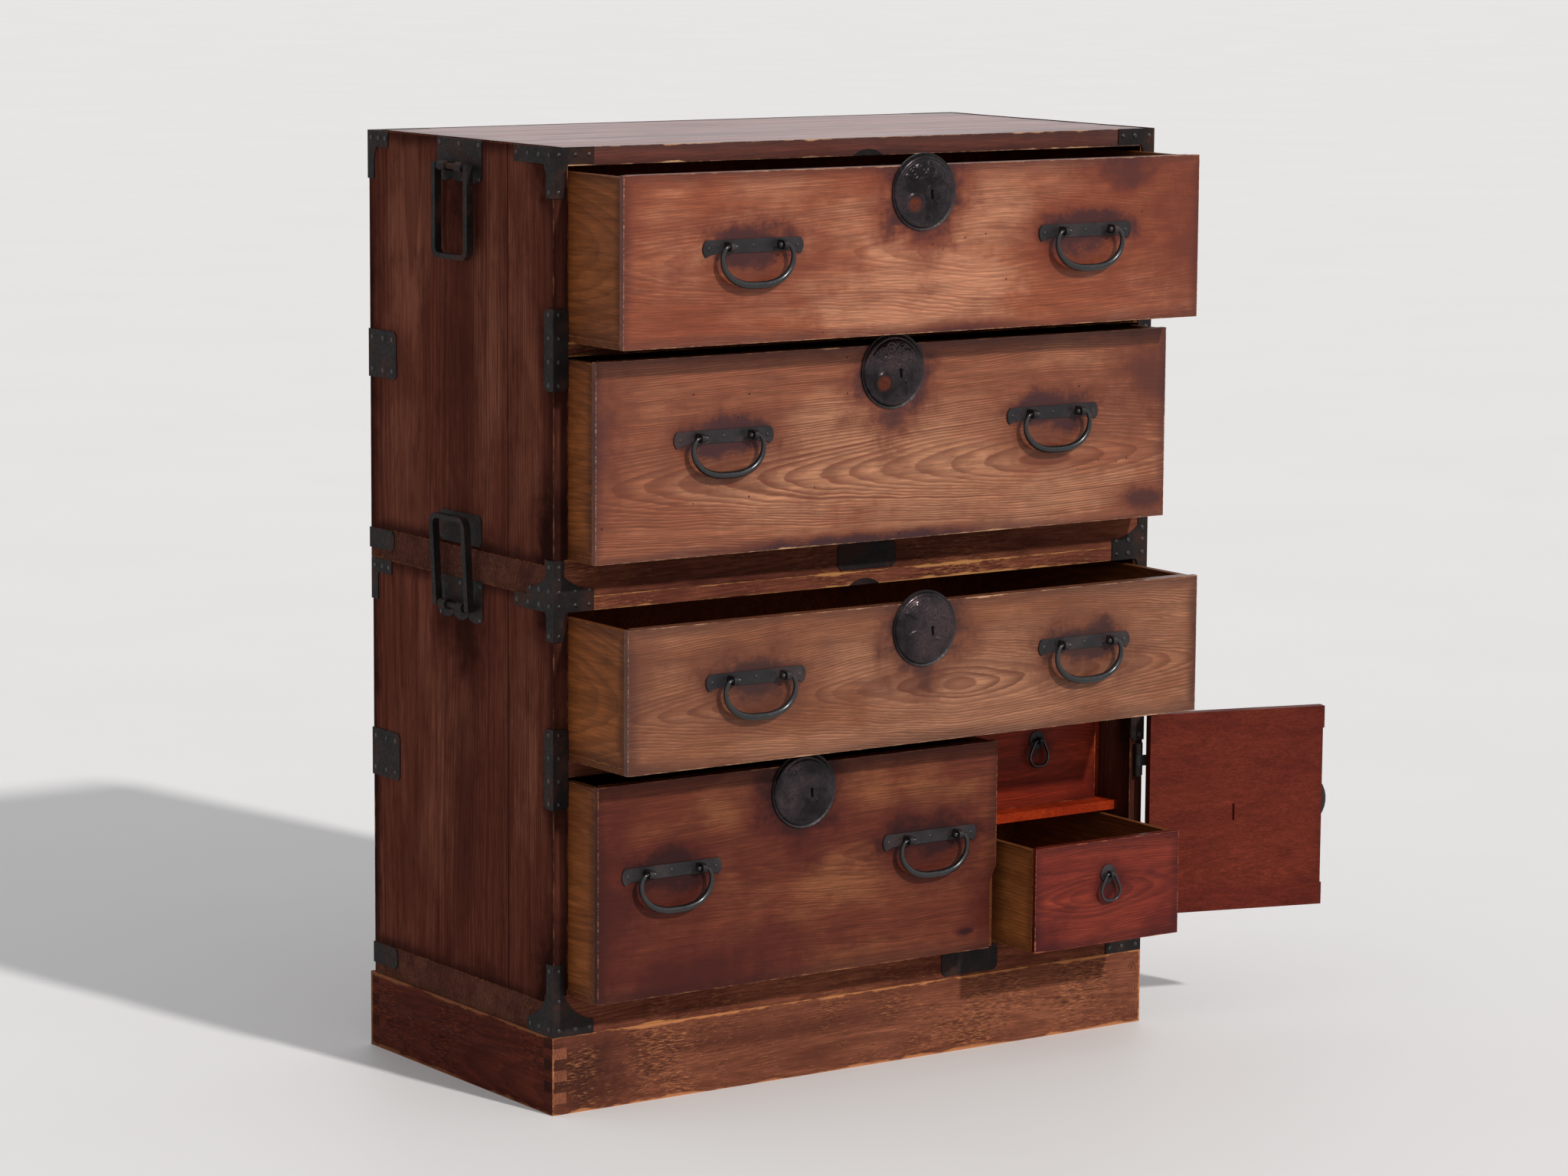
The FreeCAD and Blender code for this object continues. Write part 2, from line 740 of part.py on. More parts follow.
def bent_bar(name, pin_from, course, radii, bead=None):
    """A symmetrical bent bar about X = 0 that hangs from round pins at the origin's height.

    The course runs from a pin's outer end down to the middle of the bar. Where the pins have beads,
    there are two of them, and otherwise one pin crosses the middle.
    """
    places = [FreeCAD.Vector(x.value, 0, z.value) for x, z in course]
    sizes = [radii[0].value * PIN_ROOT_SHARE] + [radius.value for radius in radii[1:]]
    corners = square_section(places[0].x, places[0].z, sizes[0])
    sections = [corners]
    for index in range(len(places) - 1):
        onwards = places[index + 2] if index + 2 < len(places) else FreeCAD.Vector(
            -places[index].x, 0, places[index].z)
        first, second = places[index + 1] - places[index], onwards - places[index + 1]
        heading = first.normalize() + second.normalize()
        corners = carried_section(corners, places[index], sizes[index], places[index + 1],
                                  sizes[index + 1], heading)
        sections.append(corners)
    sections += [[FreeCAD.Vector(-corner.x, corner.y, corner.z) for corner in section]
                 for section in reversed(sections[:-1])]
    start, stop, thick = pin_from, course[0][0], radii[0]
    pieces = [hammered(f"{name}_bar", sections)]
    if bead is None:
        pieces.append(rod(f"{name}_pin", ALONG_X, (-stop, ZERO, ZERO), thick, 2 * stop))
        return joined(name, *pieces)
    for side_name, low in (("right", start + bead / 2), ("left", -stop)):
        pieces.append(rod(f"{name}_pin_{side_name}", ALONG_X, (low, ZERO, ZERO), thick,
                          stop - start - bead / 2))
    for side_name, low in (("right", start), ("left", -start - bead)):
        ends = [square_section(x.value, 0, bead.value) for x in (low, low + bead)]
        pieces.append(hammered(f"{name}_bead_{side_name}", ends))
    return joined(name, *pieces)


# A bail: each arm comes up outside its post, curls inwards through the eye and ends in a bead
bail_half = bail_width / 2 - s.bail_belly * 0.75
bail_low = s.bail_drop - s.bail_belly
pin_start = (post_spread - s.post_width) / 2 - s.bail_bead - s.bail_pin / 4
pin_stop = (post_spread + s.post_width) / 2 + s.bail_pin / 4
# Places beyond the eye, as shares of the way from the pin to the arm and down to the belly
BAIL_COURSE_SHARES = ((0.55, 0.05), (1.0, 0.27), (0.94, 0.57), (0.7, 0.84), (0.36, 0.975))
# Thickness there, as shares of the way from the pin's to the belly's
BAIL_SWELL_SHARES = (0.03, 0.15, 0.45, 0.75, 0.95)


def bail_course():
    """The course of half a bail, from its pin to the middle of its belly, with its radii."""
    course = [(pin_stop, ZERO)]
    radii = [s.bail_pin]
    arm_shares = BAIL_COURSE_SHARES[:2]
    for (out_share, down_share), swell_share in zip(BAIL_COURSE_SHARES, BAIL_SWELL_SHARES):
        if (out_share, down_share) in arm_shares:
            x = pin_stop + (bail_half - pin_stop) * out_share
        else:
            x = bail_half * out_share
        course.append((x, -bail_low * down_share))
        radii.append(s.bail_pin + (s.bail_belly - s.bail_pin) * swell_share)
    course.append((ZERO, -bail_low))
    radii.append(s.bail_belly)
    return course, radii


bail = bent_bar("bail_form", pin_start, *bail_course(), bead=s.bail_bead)

# A ring pull: a drop-shaped ring whose short upper bar runs in one eye
ring_half = s.ring_width / 2 - s.ring_bar
ring_low = s.ring_drop - 2 * s.ring_bar
RING_COURSE_SHARES = (
    (0.3, 0.0), (0.46, 0.06), (0.7, 0.26), (0.96, 0.52), (0.96, 0.76), (0.6, 0.96), (0.0, 1.0),
)
ring_course = [(ring_half * x_share, -ring_low * z_share) for x_share, z_share in RING_COURSE_SHARES]
ring_radii = [s.ring_bar] * len(ring_course)
ring = bent_bar("ring_form", ZERO, ring_course, ring_radii)


def clipped_plate(name, plane, width, height, backwards):
    """A sheet plate with clipped corners, its lower edge centred on the origin."""
    half = width / 2
    clip = s.plate_clip
    body = new_body(name)
    sketch = outline(body, f"{name}_outline", plane, (
        (clip - half, ZERO), (half - clip, ZERO), (half, clip), (half, height - clip),
        (half - clip, height), (clip - half, height), (-half, height - clip), (-half, clip),
    ))
    raised(body, f"{name}_sheet", sketch, s.iron_sheet, backwards)
    return body


def corner_iron(name, front_course, side_course, top_course=None, level=ZERO):
    """A folded corner iron: a leaf on the front, one on the left side and one on the top if asked for.

    Its origin is the chest's front left edge at the height of the floor.
    """
    body = new_body(name)
    raised(body, f"{name}_front", outline(body, f"{name}_front_outline", "XZ_Plane", front_course),
           s.iron_sheet)
    raised(body, f"{name}_side", outline(body, f"{name}_side_outline", "YZ_Plane", side_course),
           s.iron_sheet, backwards=True)
    if top_course is not None:
        sketch = outline(body, f"{name}_top_outline", "XY_Plane", top_course)
        sketch.setExpression(".AttachmentOffset.Base.z", level.formula)
        raised(body, f"{name}_top", sketch, s.iron_sheet)
    return seat(body, left, front, ZERO)


def angled_course(arm, drop, head, arm_height, edge_width):
    """The leaf of an iron with an arm along its head and a tongue down the edge, gusseted between."""
    fold = -s.iron_sheet
    gusset = (arm_height - edge_width) if arm_height.value > edge_width.value else edge_width / 4
    return (
        (fold, head),
        (arm, head),
        (arm, head - arm_height),
        (edge_width + gusset, head - arm_height),
        (edge_width, head - arm_height - 2 * gusset),
        (edge_width, head - drop),
        (fold, head - drop),
    )


# Height of a foot iron's arm where it meets the tongue, as a share of the iron's rise
FOOT_ARM_SHARE = 0.57


def footed_course(arm, rise, foot, edge_width):
    """The leaf of a foot iron: an arm along its foot, curved up into a tongue along the edge."""
    fold = -s.iron_sheet
    middle = (arm + edge_width) / 2
    arm_height = rise * FOOT_ARM_SHARE
    return (
        (fold, foot),
        (arm, foot),
        (arm, foot + arm_height / 3),
        (middle, foot + arm_height / 2, "via"),
        (edge_width, foot + arm_height),
        (edge_width, foot + rise),
        (fold, foot + rise),
    )


def strip_course(reach, foot, height):
    """The leaf of an edge iron: a strip with clipped outer corners."""
    fold = -s.iron_sheet
    clip = s.plate_clip
    return ((fold, foot), (reach - clip, foot), (reach, foot + clip), (reach, foot + height - clip),
            (reach - clip, foot + height), (fold, foot + height))


def side_irons(name, foot, head, depth, band, arms, mid_front, mid_back, top_leaf):
    """Every corner and edge iron of a chest's left side."""
    back_plane = front + depth / 2
    front_head = corner_iron(
        f"{name}_front_head_iron",
        angled_course(s.front_arm, arms.drop, head, arms.height, s.edge_width),
        angled_course(s.side_arm, arms.drop, head, arms.height, s.edge_width))
    front_foot = corner_iron(
        f"{name}_front_foot_iron",
        footed_course(s.front_arm, arms.rise, foot, s.edge_width),
        footed_course(s.foot_arm, arms.rise, foot, s.edge_width))
    back_head_leaf = angled_course(s.rear_arm, arms.drop, head, arms.height, s.edge_width)
    leaf_on_top = rectangle((-s.iron_sheet, -s.iron_sheet), (s.top_arm, s.arm_width))
    back_head = corner_iron(f"{name}_back_head_iron", back_head_leaf, back_head_leaf,
                            leaf_on_top if top_leaf else None, head - s.iron_sheet)
    back_foot_leaf = strip_course(s.foot_arm, foot + band / 3, band * 2 / 3)
    back_foot = corner_iron(f"{name}_back_foot_iron", back_foot_leaf, back_foot_leaf)
    edge = corner_iron(f"{name}_front_edge_iron",
                       strip_course(s.side_board, mid_front, arms.edge_height),
                       strip_course(s.side_board - s.iron_sheet, mid_front, arms.edge_height))
    back_edge_leaf = strip_course(s.back_iron_arm, mid_back, s.back_iron_height)
    back_edge = corner_iron(f"{name}_back_edge_iron", back_edge_leaf, back_edge_leaf)
    behind = [reflected(f"{item.Name}_behind", item, FRONT_TO_BACK, back_plane)
              for item in (back_head, back_foot, back_edge)]
    return [front_head, front_foot, edge, *behind]


# The carrying handle: a loop whose round upper bar turns in two knuckles on its plate.
# It is drawn hanging from its pin's axis, with the chest's side towards +X.
def carry_loop_form():
    """A forged loop: flat side bars, a lighter cross bar and a round upper bar."""
    half = s.carry_width / 2
    inner = half - s.carry_bar
    low = -s.carry_length
    rise = low + s.carry_corner
    diagonal = s.carry_corner * (1 - math.sqrt(0.5))
    inner_corner = s.carry_corner - s.carry_cross_bar
    inner_low = low + s.carry_cross_bar
    inner_diagonal = inner_corner * (1 - math.sqrt(0.5))
    body = new_body("carry_loop_bars")
    shape = outline(body, "carry_loop_outline", "YZ_Plane", (
        (-half, s.carry_pin), (-half, rise), (diagonal - half, low + diagonal, "via"),
        (s.carry_corner - half, low), (half - s.carry_corner, low),
        (half - diagonal, low + diagonal, "via"), (half, rise), (half, s.carry_pin),
        (inner, s.carry_pin), (inner, inner_low + inner_corner),
        (inner - inner_diagonal, inner_low + inner_diagonal, "via"), (inner - inner_corner, inner_low),
        (inner_corner - inner, inner_low), (inner_diagonal - inner, inner_low + inner_diagonal, "via"),
        (-inner, inner_low + inner_corner), (-inner, s.carry_pin),
    ))
    pad = raised(body, "carry_loop_pad", shape, s.carry_bar)
    pad.Midplane = True
    pin = rod("carry_loop_pin", ALONG_Y, (ZERO, -inner - s.carry_bar / 2, ZERO), s.carry_pin,
              2 * inner + s.carry_bar)
    return joined("carry_loop_form", body, pin)


def carry_plate_form():
    """The handle's plate, scalloped along its lower edge, with the two knuckles for the loop."""
    half = s.carry_plate_width / 2
    low = s.carry_pin_drop - s.carry_plate_height
    notch = low + s.carry_lobe
    body = new_body("carry_plate_sheet")
    shape = outline(body, "carry_plate_outline", "YZ_Plane", (
        (-half, s.carry_pin_drop), (-half, notch), (-half * 2 / 3, low, "via"), (-half / 3, notch),
        (ZERO, low, "via"), (half / 3, notch), (half * 2 / 3, low, "via"), (half, notch),
        (half, s.carry_pin_drop),
    ))
    raised(body, "carry_plate_pad", shape, s.iron_sheet)
    placed = grouped("carry_plate_placed", body)
    seat(placed, s.carry_reach - s.iron_sheet, ZERO, ZERO)
    solids = [placed]
    bores = []
    for end, side in (("near", -1), ("far", 1)):
        start = side * s.carry_knuckle_spread / 2 - s.carry_knuckle_length / 2
        solids.append(rod(f"carry_knuckle_{end}", ALONG_Y, (ZERO, start, ZERO),
                          s.carry_knuckle_radius, s.carry_knuckle_length))
        solids.append(board(f"carry_web_{end}", (ZERO, start, -s.carry_knuckle_radius),
                            (s.carry_reach, s.carry_knuckle_length, s.carry_knuckle_radius)))
        bores.append(rod(f"carry_bore_{end}", ALONG_Y, (ZERO, start - s.overrun, ZERO),
                         s.carry_pin + s.carry_clearance, s.carry_knuckle_length + 2 * s.overrun))
    return without("carry_plate_form", joined("carry_plate_solid", *solids), *bores)


carry_loop = carry_loop_form()
carry_plate = carry_plate_form()
carry_y = front + s.carry_centre
carry_x = left - s.carry_reach
upper_pin = upper_head - s.carry_pin_drop
lower_pin = lower_head - s.carry_pin_drop
# A raised loop leans in until its end nearly meets the backing plate on the upper chest
lean_slope = (s.carry_reach - s.iron_sheet - s.carry_bar / 2 - s.carry_rest_gap) / s.carry_length
raised_turn = 180 - lean_slope * math.degrees(1)


def carrying_handle(name, pin_level, raised_up):
    """The handles of one chest, left and right."""
    placed = grouped(f"carry_{name}_left_loop", carry_loop)
    if raised_up:
        turn(placed, FreeCAD.Vector(0, 1, 0), raised_turn)
    seat(placed, carry_x, carry_y, pin_level)
    keep(f"carry_{name}_left", placed)
    keep(f"carry_{name}_right", reflected(f"carry_{name}_right_loop", placed, ACROSS))
    return seat(grouped(f"carry_{name}_plate", carry_plate), carry_x, carry_y, pin_level)


upper_carry_plate = carrying_handle("upper", upper_pin, raised_up=False)
lower_carry_plate = carrying_handle("lower", lower_pin, raised_up=True)

# Ironwork on the fronts' base rails
upper_base_plate = clipped_plate("upper_base_plate", "XZ_Plane", s.base_plate_width,
                                 s.base_plate_height, backwards=False)
seat(upper_base_plate, s.base_plate_shift, front, lower_head + s.base_plate_rise)
lower_base_plate = clipped_plate("lower_base_plate", "XZ_Plane", s.base_plate_width,
                                 s.base_plate_height, backwards=False)
seat(lower_base_plate, (partition_left + partition_right) / 2, front,
     s.plinth_height + s.base_plate_rise)
backing_plate = clipped_plate("backing_plate", "YZ_Plane", s.backing_width, s.backing_height,
                              backwards=True)
seat(backing_plate, left, carry_y, lower_head + s.backing_rise)

upper_arms = SimpleNamespace(drop=s.top_drop, height=s.arm_width, rise=s.upper_base,
                             edge_height=s.edge_iron_height)
lower_arms = SimpleNamespace(drop=s.joint_drop, height=s.lower_top, rise=s.foot_rise,
                             edge_height=s.edge_iron_height)
upper_left_irons = grouped("upper_left_irons", *side_irons(
    "upper", lower_head, upper_head, upper_depth, s.upper_band, upper_arms,
    upper_rail_foot + (s.upper_rail - s.edge_iron_height) / 2,
    upper_rail_foot - s.back_iron_height, top_leaf=True), upper_carry_plate, backing_plate)
lower_left_irons = grouped("lower_left_irons", *side_irons(
    "lower", s.plinth_height, lower_head, lower_depth, s.lower_band, lower_arms,
    lower_rail_foot + (s.lower_rail - s.edge_iron_height) / 2,
    lower_rail_foot - s.back_iron_height, top_leaf=False), lower_carry_plate)
upper_right_irons = reflected("upper_right_irons", upper_left_irons, ACROSS)
lower_right_irons = reflected("lower_right_irons", lower_left_irons, ACROSS)

# The compartment's door turns about a pin in front of the right side board's edge.
# Its pieces are drawn shut, from the pin's axis, and turned open together.
pin_x = left + s.case_width - s.pin_inset
pin_y = front - s.pin_reach
door_free_edge = partition_right + s.door_free_gap - pin_x
door_hinge_edge = compartment_right - s.door_hinge_gap - pin_x
door_foot = lower_floor + s.door_foot_gap
door_head = lower_rail_foot - s.door_head_gap
knuckle_pitch = s.knuckle_height + s.knuckle_gap
hinge_levels = (("low", door_foot + s.hinge_margin), ("high", door_head - s.hinge_margin))


def door_pieces():
    """The door's panel, its two end boards and its ironwork."""
    width = door_hinge_edge - door_free_edge
    panel_width = width - s.door_end_shrink
    panel_left = door_free_edge + s.door_end_shrink
    panel_foot = door_foot + s.door_end_board
    panel_height = door_head - door_foot - 2 * s.door_end_board
    tongue_depth = s.door_board / 3
    panel = board("door_panel_board", (panel_left, s.pin_reach, panel_foot),
                  (panel_width, s.door_board, panel_height))
    tongues = board("door_tongues", (panel_left, s.pin_reach + tongue_depth, panel_foot - s.door_tongue),
                    (panel_width, tongue_depth, panel_height + 2 * s.door_tongue))
    mortise = board("door_mortise",
                    (door_free_edge + s.mortise_inset - s.mortise_width / 2,
                     s.pin_reach + s.door_board - s.mortise_depth, door_foot + s.mortise_rise),
                    (s.mortise_width, s.mortise_depth + s.overrun, s.mortise_height))
    tongued = joined("door_tongued_panel", panel, tongues)
    ends = []
    for name, level in (("low", door_foot), ("high", door_head - s.door_end_board)):
        blank = board(f"door_end_{name}_blank", (door_free_edge, s.pin_reach, level),
                      (width, s.door_board, s.door_end_board))
        ends.append(without(f"door_end_{name}", blank, tongues))
    return without("door_panel_cut", tongued, mortise), ends


def knuckle(name, level, bore):
    """One knuckle on the hinge axis, bored for the pin unless the pin is fixed in it."""
    barrel = rod(f"{name}_barrel", ALONG_Z, (ZERO, ZERO, level), s.knuckle_radius, s.knuckle_height)
    if not bore:
        return barrel
    hole = rod(f"{name}_bore", ALONG_Z, (ZERO, ZERO, level - s.overrun),
               s.pin_radius + s.hinge_clearance, s.knuckle_height + 2 * s.overrun)
    return barrel, hole


def moving_leaf(name, level):
    """The door's half of a hinge: a strap on the outer face and the middle knuckle."""
    foot = level - s.knuckle_height / 2
    strap = board(f"{name}_strap", (-s.hinge_leaf, s.pin_reach - s.iron_sheet, foot),
                  (s.hinge_leaf, s.iron_sheet, s.knuckle_height))
    barrel, hole = knuckle(name, foot, bore=True)
    return without(name, joined(f"{name}_solid", strap, barrel), hole)


def fixed_leaf(name, level):
    """The chest's half of a hinge: a leaf on the side board's edge, two knuckles and the pin."""
    foot = level - s.knuckle_height / 2 - knuckle_pitch
    clear = s.knuckle_radius + s.knuckle_gap
    tall = 2 * knuckle_pitch + s.knuckle_height
    pieces = [
        board(f"{name}_plate", (clear, s.pin_reach - s.iron_sheet, foot),
              (s.pin_inset - clear, s.iron_sheet, tall)),
        rod(f"{name}_pin", ALONG_Z, (ZERO, ZERO, foot), s.pin_radius, tall),
    ]
    for index in range(2):
        base = foot + 2 * knuckle_pitch * index
        pieces.append(knuckle(f"{name}_knuckle_{index}", base, bore=False))
        pieces.append(board(f"{name}_lug_{index}", (ZERO, s.pin_reach - s.iron_sheet, base),
                            (clear, s.iron_sheet, s.knuckle_height)))
    return seat(grouped(f"{name}_placed", joined(name, *pieces)), pin_x, pin_y, ZERO)


def hung(label, *pieces):
    """Door pieces turned open about the pin."""
    item = turn(grouped(f"{label}_hung", *pieces), FreeCAD.Vector(0, 0, 1), s.door_open_angle)
    return keep(label, seat(item, pin_x, pin_y, ZERO))


door_panel, door_ends = door_pieces()
hung("door_panel", door_panel)
hung("door_end_boards", *door_ends)
placed_door_lock = seat(grouped("door_lock_placed", door_lock_plate),
                        door_free_edge + s.door_lock_inset, s.pin_reach, door_foot + s.door_lock_height)
hung("door_irons", placed_door_lock,
     *(moving_leaf(f"door_leaf_{name}", level) for name, level in hinge_levels))
fixed_leaves = [fixed_leaf(f"case_leaf_{name}", level) for name, level in hinge_levels]

keep("lower_irons", grouped("lower_ironwork", lower_left_irons, lower_right_irons, lower_strike,
                            lower_base_plate, *fixed_leaves))
keep("upper_irons", grouped("upper_ironwork", upper_left_irons, upper_right_irons, upper_strike,
                            upper_base_plate))


def rebated_front(name, width, height, front_board, lip, wall, bottom):
    """A drawer front, rebated behind both ends for the side walls and below for the bottom."""
    body = new_body(name)
    whole = outline(body, f"{name}_face", "XZ_Plane", rectangle((ZERO, ZERO), (width, height)))
    raised(body, f"{name}_lip", whole, lip, backwards=True)
    core = outline(body, f"{name}_core_outline", "XZ_Plane",
                   rectangle((wall, bottom), (width - wall, height)))
    raised(body, f"{name}_core", core, front_board, backwards=True)
    return body


def drawer_box(name, corner, width, depth, height, timber):
    """The two side walls, the back wall between them and the bottom below, behind the front's lip."""
    x, y, z = corner
    wall, bottom, lip = timber.wall, timber.bottom, timber.lip
    tall = height - bottom - s.wall_drop
    walls = [
        board(f"{name}_wall_left", (x, y + lip, z + bottom), (wall, depth - lip, tall)),
        board(f"{name}_wall_right", (x + width - wall, y + lip, z + bottom), (wall, depth - lip, tall)),
        board(f"{name}_wall_back", (x + wall, y + depth - wall, z + bottom),
              (width - 2 * wall, wall, tall)),
    ]
    floor_board = board(f"{name}_floor", (x, y + lip, z), (width, depth - lip, bottom))
    return walls, floor_board


large_timber = SimpleNamespace(front=s.drawer_front, lip=s.drawer_lip, wall=s.drawer_wall,
                               bottom=s.drawer_bottom)
small_timber = SimpleNamespace(front=s.small_front, lip=s.small_lip, wall=s.small_wall,
                               bottom=s.small_bottom)


def large_drawer(number, room, out, headroom, handle_drop, inset):
    """A large drawer with its lock, its two handle plates and their bails."""
    name = f"drawer_{number}"
    x = room.left + s.drawer_gap
    width = room.width - 2 * s.drawer_gap
    z = room.floor + s.seat_gap
    height = room.bay - s.seat_gap - headroom
    face = front - out
    depth = room.depth - s.back_board - s.drawer_back_gap
    middle = x + width / 2
    body = rebated_front(f"{name}_board", width, height, large_timber.front, large_timber.lip,
                         large_timber.wall, large_timber.bottom)
    if number == 4:
        chip = outline(body, f"{name}_chip_outline", "XZ_Plane", (
            (width - s.chip_width, -s.overrun),
            (width + s.overrun, -s.overrun),
            (width + s.overrun, s.chip_height + s.chip_slope),
            (width, s.chip_height + s.chip_slope),
            (width - s.chip_width, s.chip_height),
        ))
        doc.recompute()
        cut_through(body, f"{name}_chip", chip, 2 * (s.drawer_front + s.overrun))
    seat(body, x, face, z)
    keep(f"{name}_front", body)
    walls, floor_board = drawer_box(name, (x, face, z), width, depth, height, large_timber)
    keep(f"{name}_walls", grouped(f"{name}_box", *walls))
    keep(f"{name}_bottom", floor_board)
    lock_level = z + height - s.lock_drop
    irons = [
        seat(grouped(f"{name}_lock_plate", lock_plate), middle, face, lock_level),
        board(f"{name}_lock_case",
              (middle - s.lock_case_width / 2, face + s.drawer_front,
               lock_level - s.lock_case_height / 2),
              (s.lock_case_width, s.lock_case_depth, s.lock_case_height)),
    ]
    handle_level = z + height - handle_drop
    for side_name, side in (("left", -1), ("right", 1)):
        centre = middle + side * (width / 2 - inset)
        irons.append(seat(grouped(f"{name}_handle_{side_name}", handle_plate),
                          centre, face, handle_level))
        keep(f"{name}_bail_{side_name}",
             seat(grouped(f"{name}_bail_{side_name}_hung", bail),
                  centre, face - s.post_reach, handle_level))
    keep(f"{name}_irons", grouped(f"{name}_ironwork", *irons))


lower_room = SimpleNamespace(left=inner_left, width=inner_width, floor=lower_shelf_head,
                             bay=s.drawer_3_bay, depth=lower_depth)
lower_left_room = SimpleNamespace(left=inner_left, width=partition_left - inner_left,
                                  floor=lower_floor, bay=s.drawer_4_bay, depth=lower_depth)
upper_high_room = SimpleNamespace(left=inner_left, width=inner_width, floor=upper_shelf_head,
                                  bay=s.drawer_1_bay, depth=upper_depth)
upper_low_room = SimpleNamespace(left=inner_left, width=inner_width, floor=upper_floor,
                                 bay=s.drawer_2_bay, depth=upper_depth)
large_drawer(1, upper_high_room, s.drawer_1_out, s.drawer_1_headroom, s.handle_1_drop, s.handle_inset)
large_drawer(2, upper_low_room, s.drawer_2_out, s.drawer_2_headroom, s.handle_2_drop, s.handle_inset)
large_drawer(3, lower_room, s.drawer_3_out, s.drawer_3_headroom, s.handle_3_drop, s.handle_inset)
large_drawer(4, lower_left_room, s.drawer_4_out, s.drawer_4_headroom, s.handle_4_drop,
             s.handle_4_inset)

ring_post = eye_post("ring_post_form", s.ring_post_reach, s.ring_post_width, s.ring_eye_radius,
                     s.ring_bar + s.eye_clearance)
ring_post_placed = seat(grouped("ring_post_placed", ring_post), ZERO, -s.ring_post_reach, ZERO)
ring_pull = joined("ring_pull_form", ring_plate, ring_post_placed)


def small_drawer(name, floor, bay, headroom, face, depth, ring_drop, ring_offset):
    """A small drawer of the compartment with its ring pull."""
    x = partition_right + s.small_gap
    width = lining_left - partition_right - 2 * s.small_gap
    z = floor + s.seat_gap
    height = bay - s.seat_gap - headroom
    body = rebated_front(f"{name}_board", width, height, small_timber.front, small_timber.lip,
                         small_timber.wall, small_timber.bottom)
    seat(body, x, face, z)
    keep(f"{name}_front", body)
    walls, floor_board = drawer_box(name, (x, face, z), width, depth, height, small_timber)
    keep(f"{name}_box", grouped(f"{name}_boards", *walls, floor_board))
    centre = x + width / 2 + ring_offset
    level = z + height - ring_drop
    keep(f"{name}_pull", seat(grouped(f"{name}_pull_plate", ring_pull), centre, face, level))
    keep(f"{name}_ring", seat(grouped(f"{name}_pull_ring", ring), centre,
                              face - s.ring_post_reach, level))


small_depth = lower_depth - s.back_board - s.small_back_gap
small_drawer("small_lower", lower_floor, s.shelf_foot, s.small_lower_headroom,
             front - s.small_lower_out, small_depth - s.small_lower_setback,
             s.small_lower_ring_drop, ZERO)
small_drawer("small_upper", lining_high_foot, lower_rail_foot - lining_high_foot,
             s.small_upper_headroom, front + s.small_upper_setback,
             small_depth - s.small_upper_setback, s.small_upper_ring_drop, s.small_upper_ring_offset)

doc.recompute()
failed = [item.Label for item in doc.Objects if {"Invalid", "Error"} & set(item.State)]
if failed:
    raise RuntimeError(f"objects that could not be built: {failed}")
for label, item in nodes.items():
    if item.Shape.isNull() or not item.Shape.isValid() or not item.Shape.Solids:
        raise RuntimeError(f"{label} is not a valid solid")

os.makedirs("parts", exist_ok=True)
for label, item in nodes.items():
    item.Shape.exportStep(f"parts/{label}.step")
print(f"{len(nodes)} pieces written")
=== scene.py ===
"""A two-section clothing chest: its finishes, forged bails, nail heads, lock relief and studio.

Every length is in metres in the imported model's own frame: X to the right, Y to the back, Z up, with
the origin on the floor.
"""

import logging
import math
import random
from dataclasses import dataclass, field, replace
from enum import Enum
from functools import reduce
from typing import Optional, Sequence, Union

import bmesh
import bpy
from bmesh.types import BMesh, BMVert
from bpy.types import Material, Node, NodeSocket, Object, World
from mathutils import Matrix, Vector


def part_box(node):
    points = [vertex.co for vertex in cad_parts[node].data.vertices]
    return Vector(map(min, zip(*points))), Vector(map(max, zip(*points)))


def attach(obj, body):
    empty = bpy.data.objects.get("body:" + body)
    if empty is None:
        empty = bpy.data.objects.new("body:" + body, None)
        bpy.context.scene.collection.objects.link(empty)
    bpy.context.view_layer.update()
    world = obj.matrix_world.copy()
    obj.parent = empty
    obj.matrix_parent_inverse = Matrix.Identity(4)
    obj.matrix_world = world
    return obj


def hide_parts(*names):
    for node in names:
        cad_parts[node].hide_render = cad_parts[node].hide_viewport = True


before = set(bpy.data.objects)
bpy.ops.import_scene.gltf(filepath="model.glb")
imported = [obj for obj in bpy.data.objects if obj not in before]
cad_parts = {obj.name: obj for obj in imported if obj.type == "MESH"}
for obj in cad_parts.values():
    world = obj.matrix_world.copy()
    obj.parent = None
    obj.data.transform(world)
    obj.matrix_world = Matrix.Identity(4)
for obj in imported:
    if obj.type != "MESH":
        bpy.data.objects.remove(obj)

LOG = logging.getLogger("clothing_chest")
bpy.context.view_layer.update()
MM = 0.001
FORWARDS = Vector((0, -1, 0))

Tone = tuple[float, float, float, float]
Feed = Union[float, Sequence[float], NodeSocket]
Ring = list[BMVert]


def tone(red: float, green: float, blue: float) -> Tone:
    """Turns a colour as seen on a screen into a shader's linear colour.

    Args:
        red: The red part, 0 to 255.
        green: The green part, 0 to 255.
        blue: The blue part, 0 to 255.

    Returns:
        The linear colour with full alpha.
    """
    parts = []
    for part in (red, green, blue):
        share = part / 255
        parts.append(share / 12.92 if share <= 0.04045 else ((share + 0.055) / 1.055) ** 2.4)
    return (parts[0], parts[1], parts[2], 1.0)


class Axis(Enum):
    """One of the frame's three directions."""

    X = 0
    Y = 1
    Z = 2


X, Y, Z = Axis


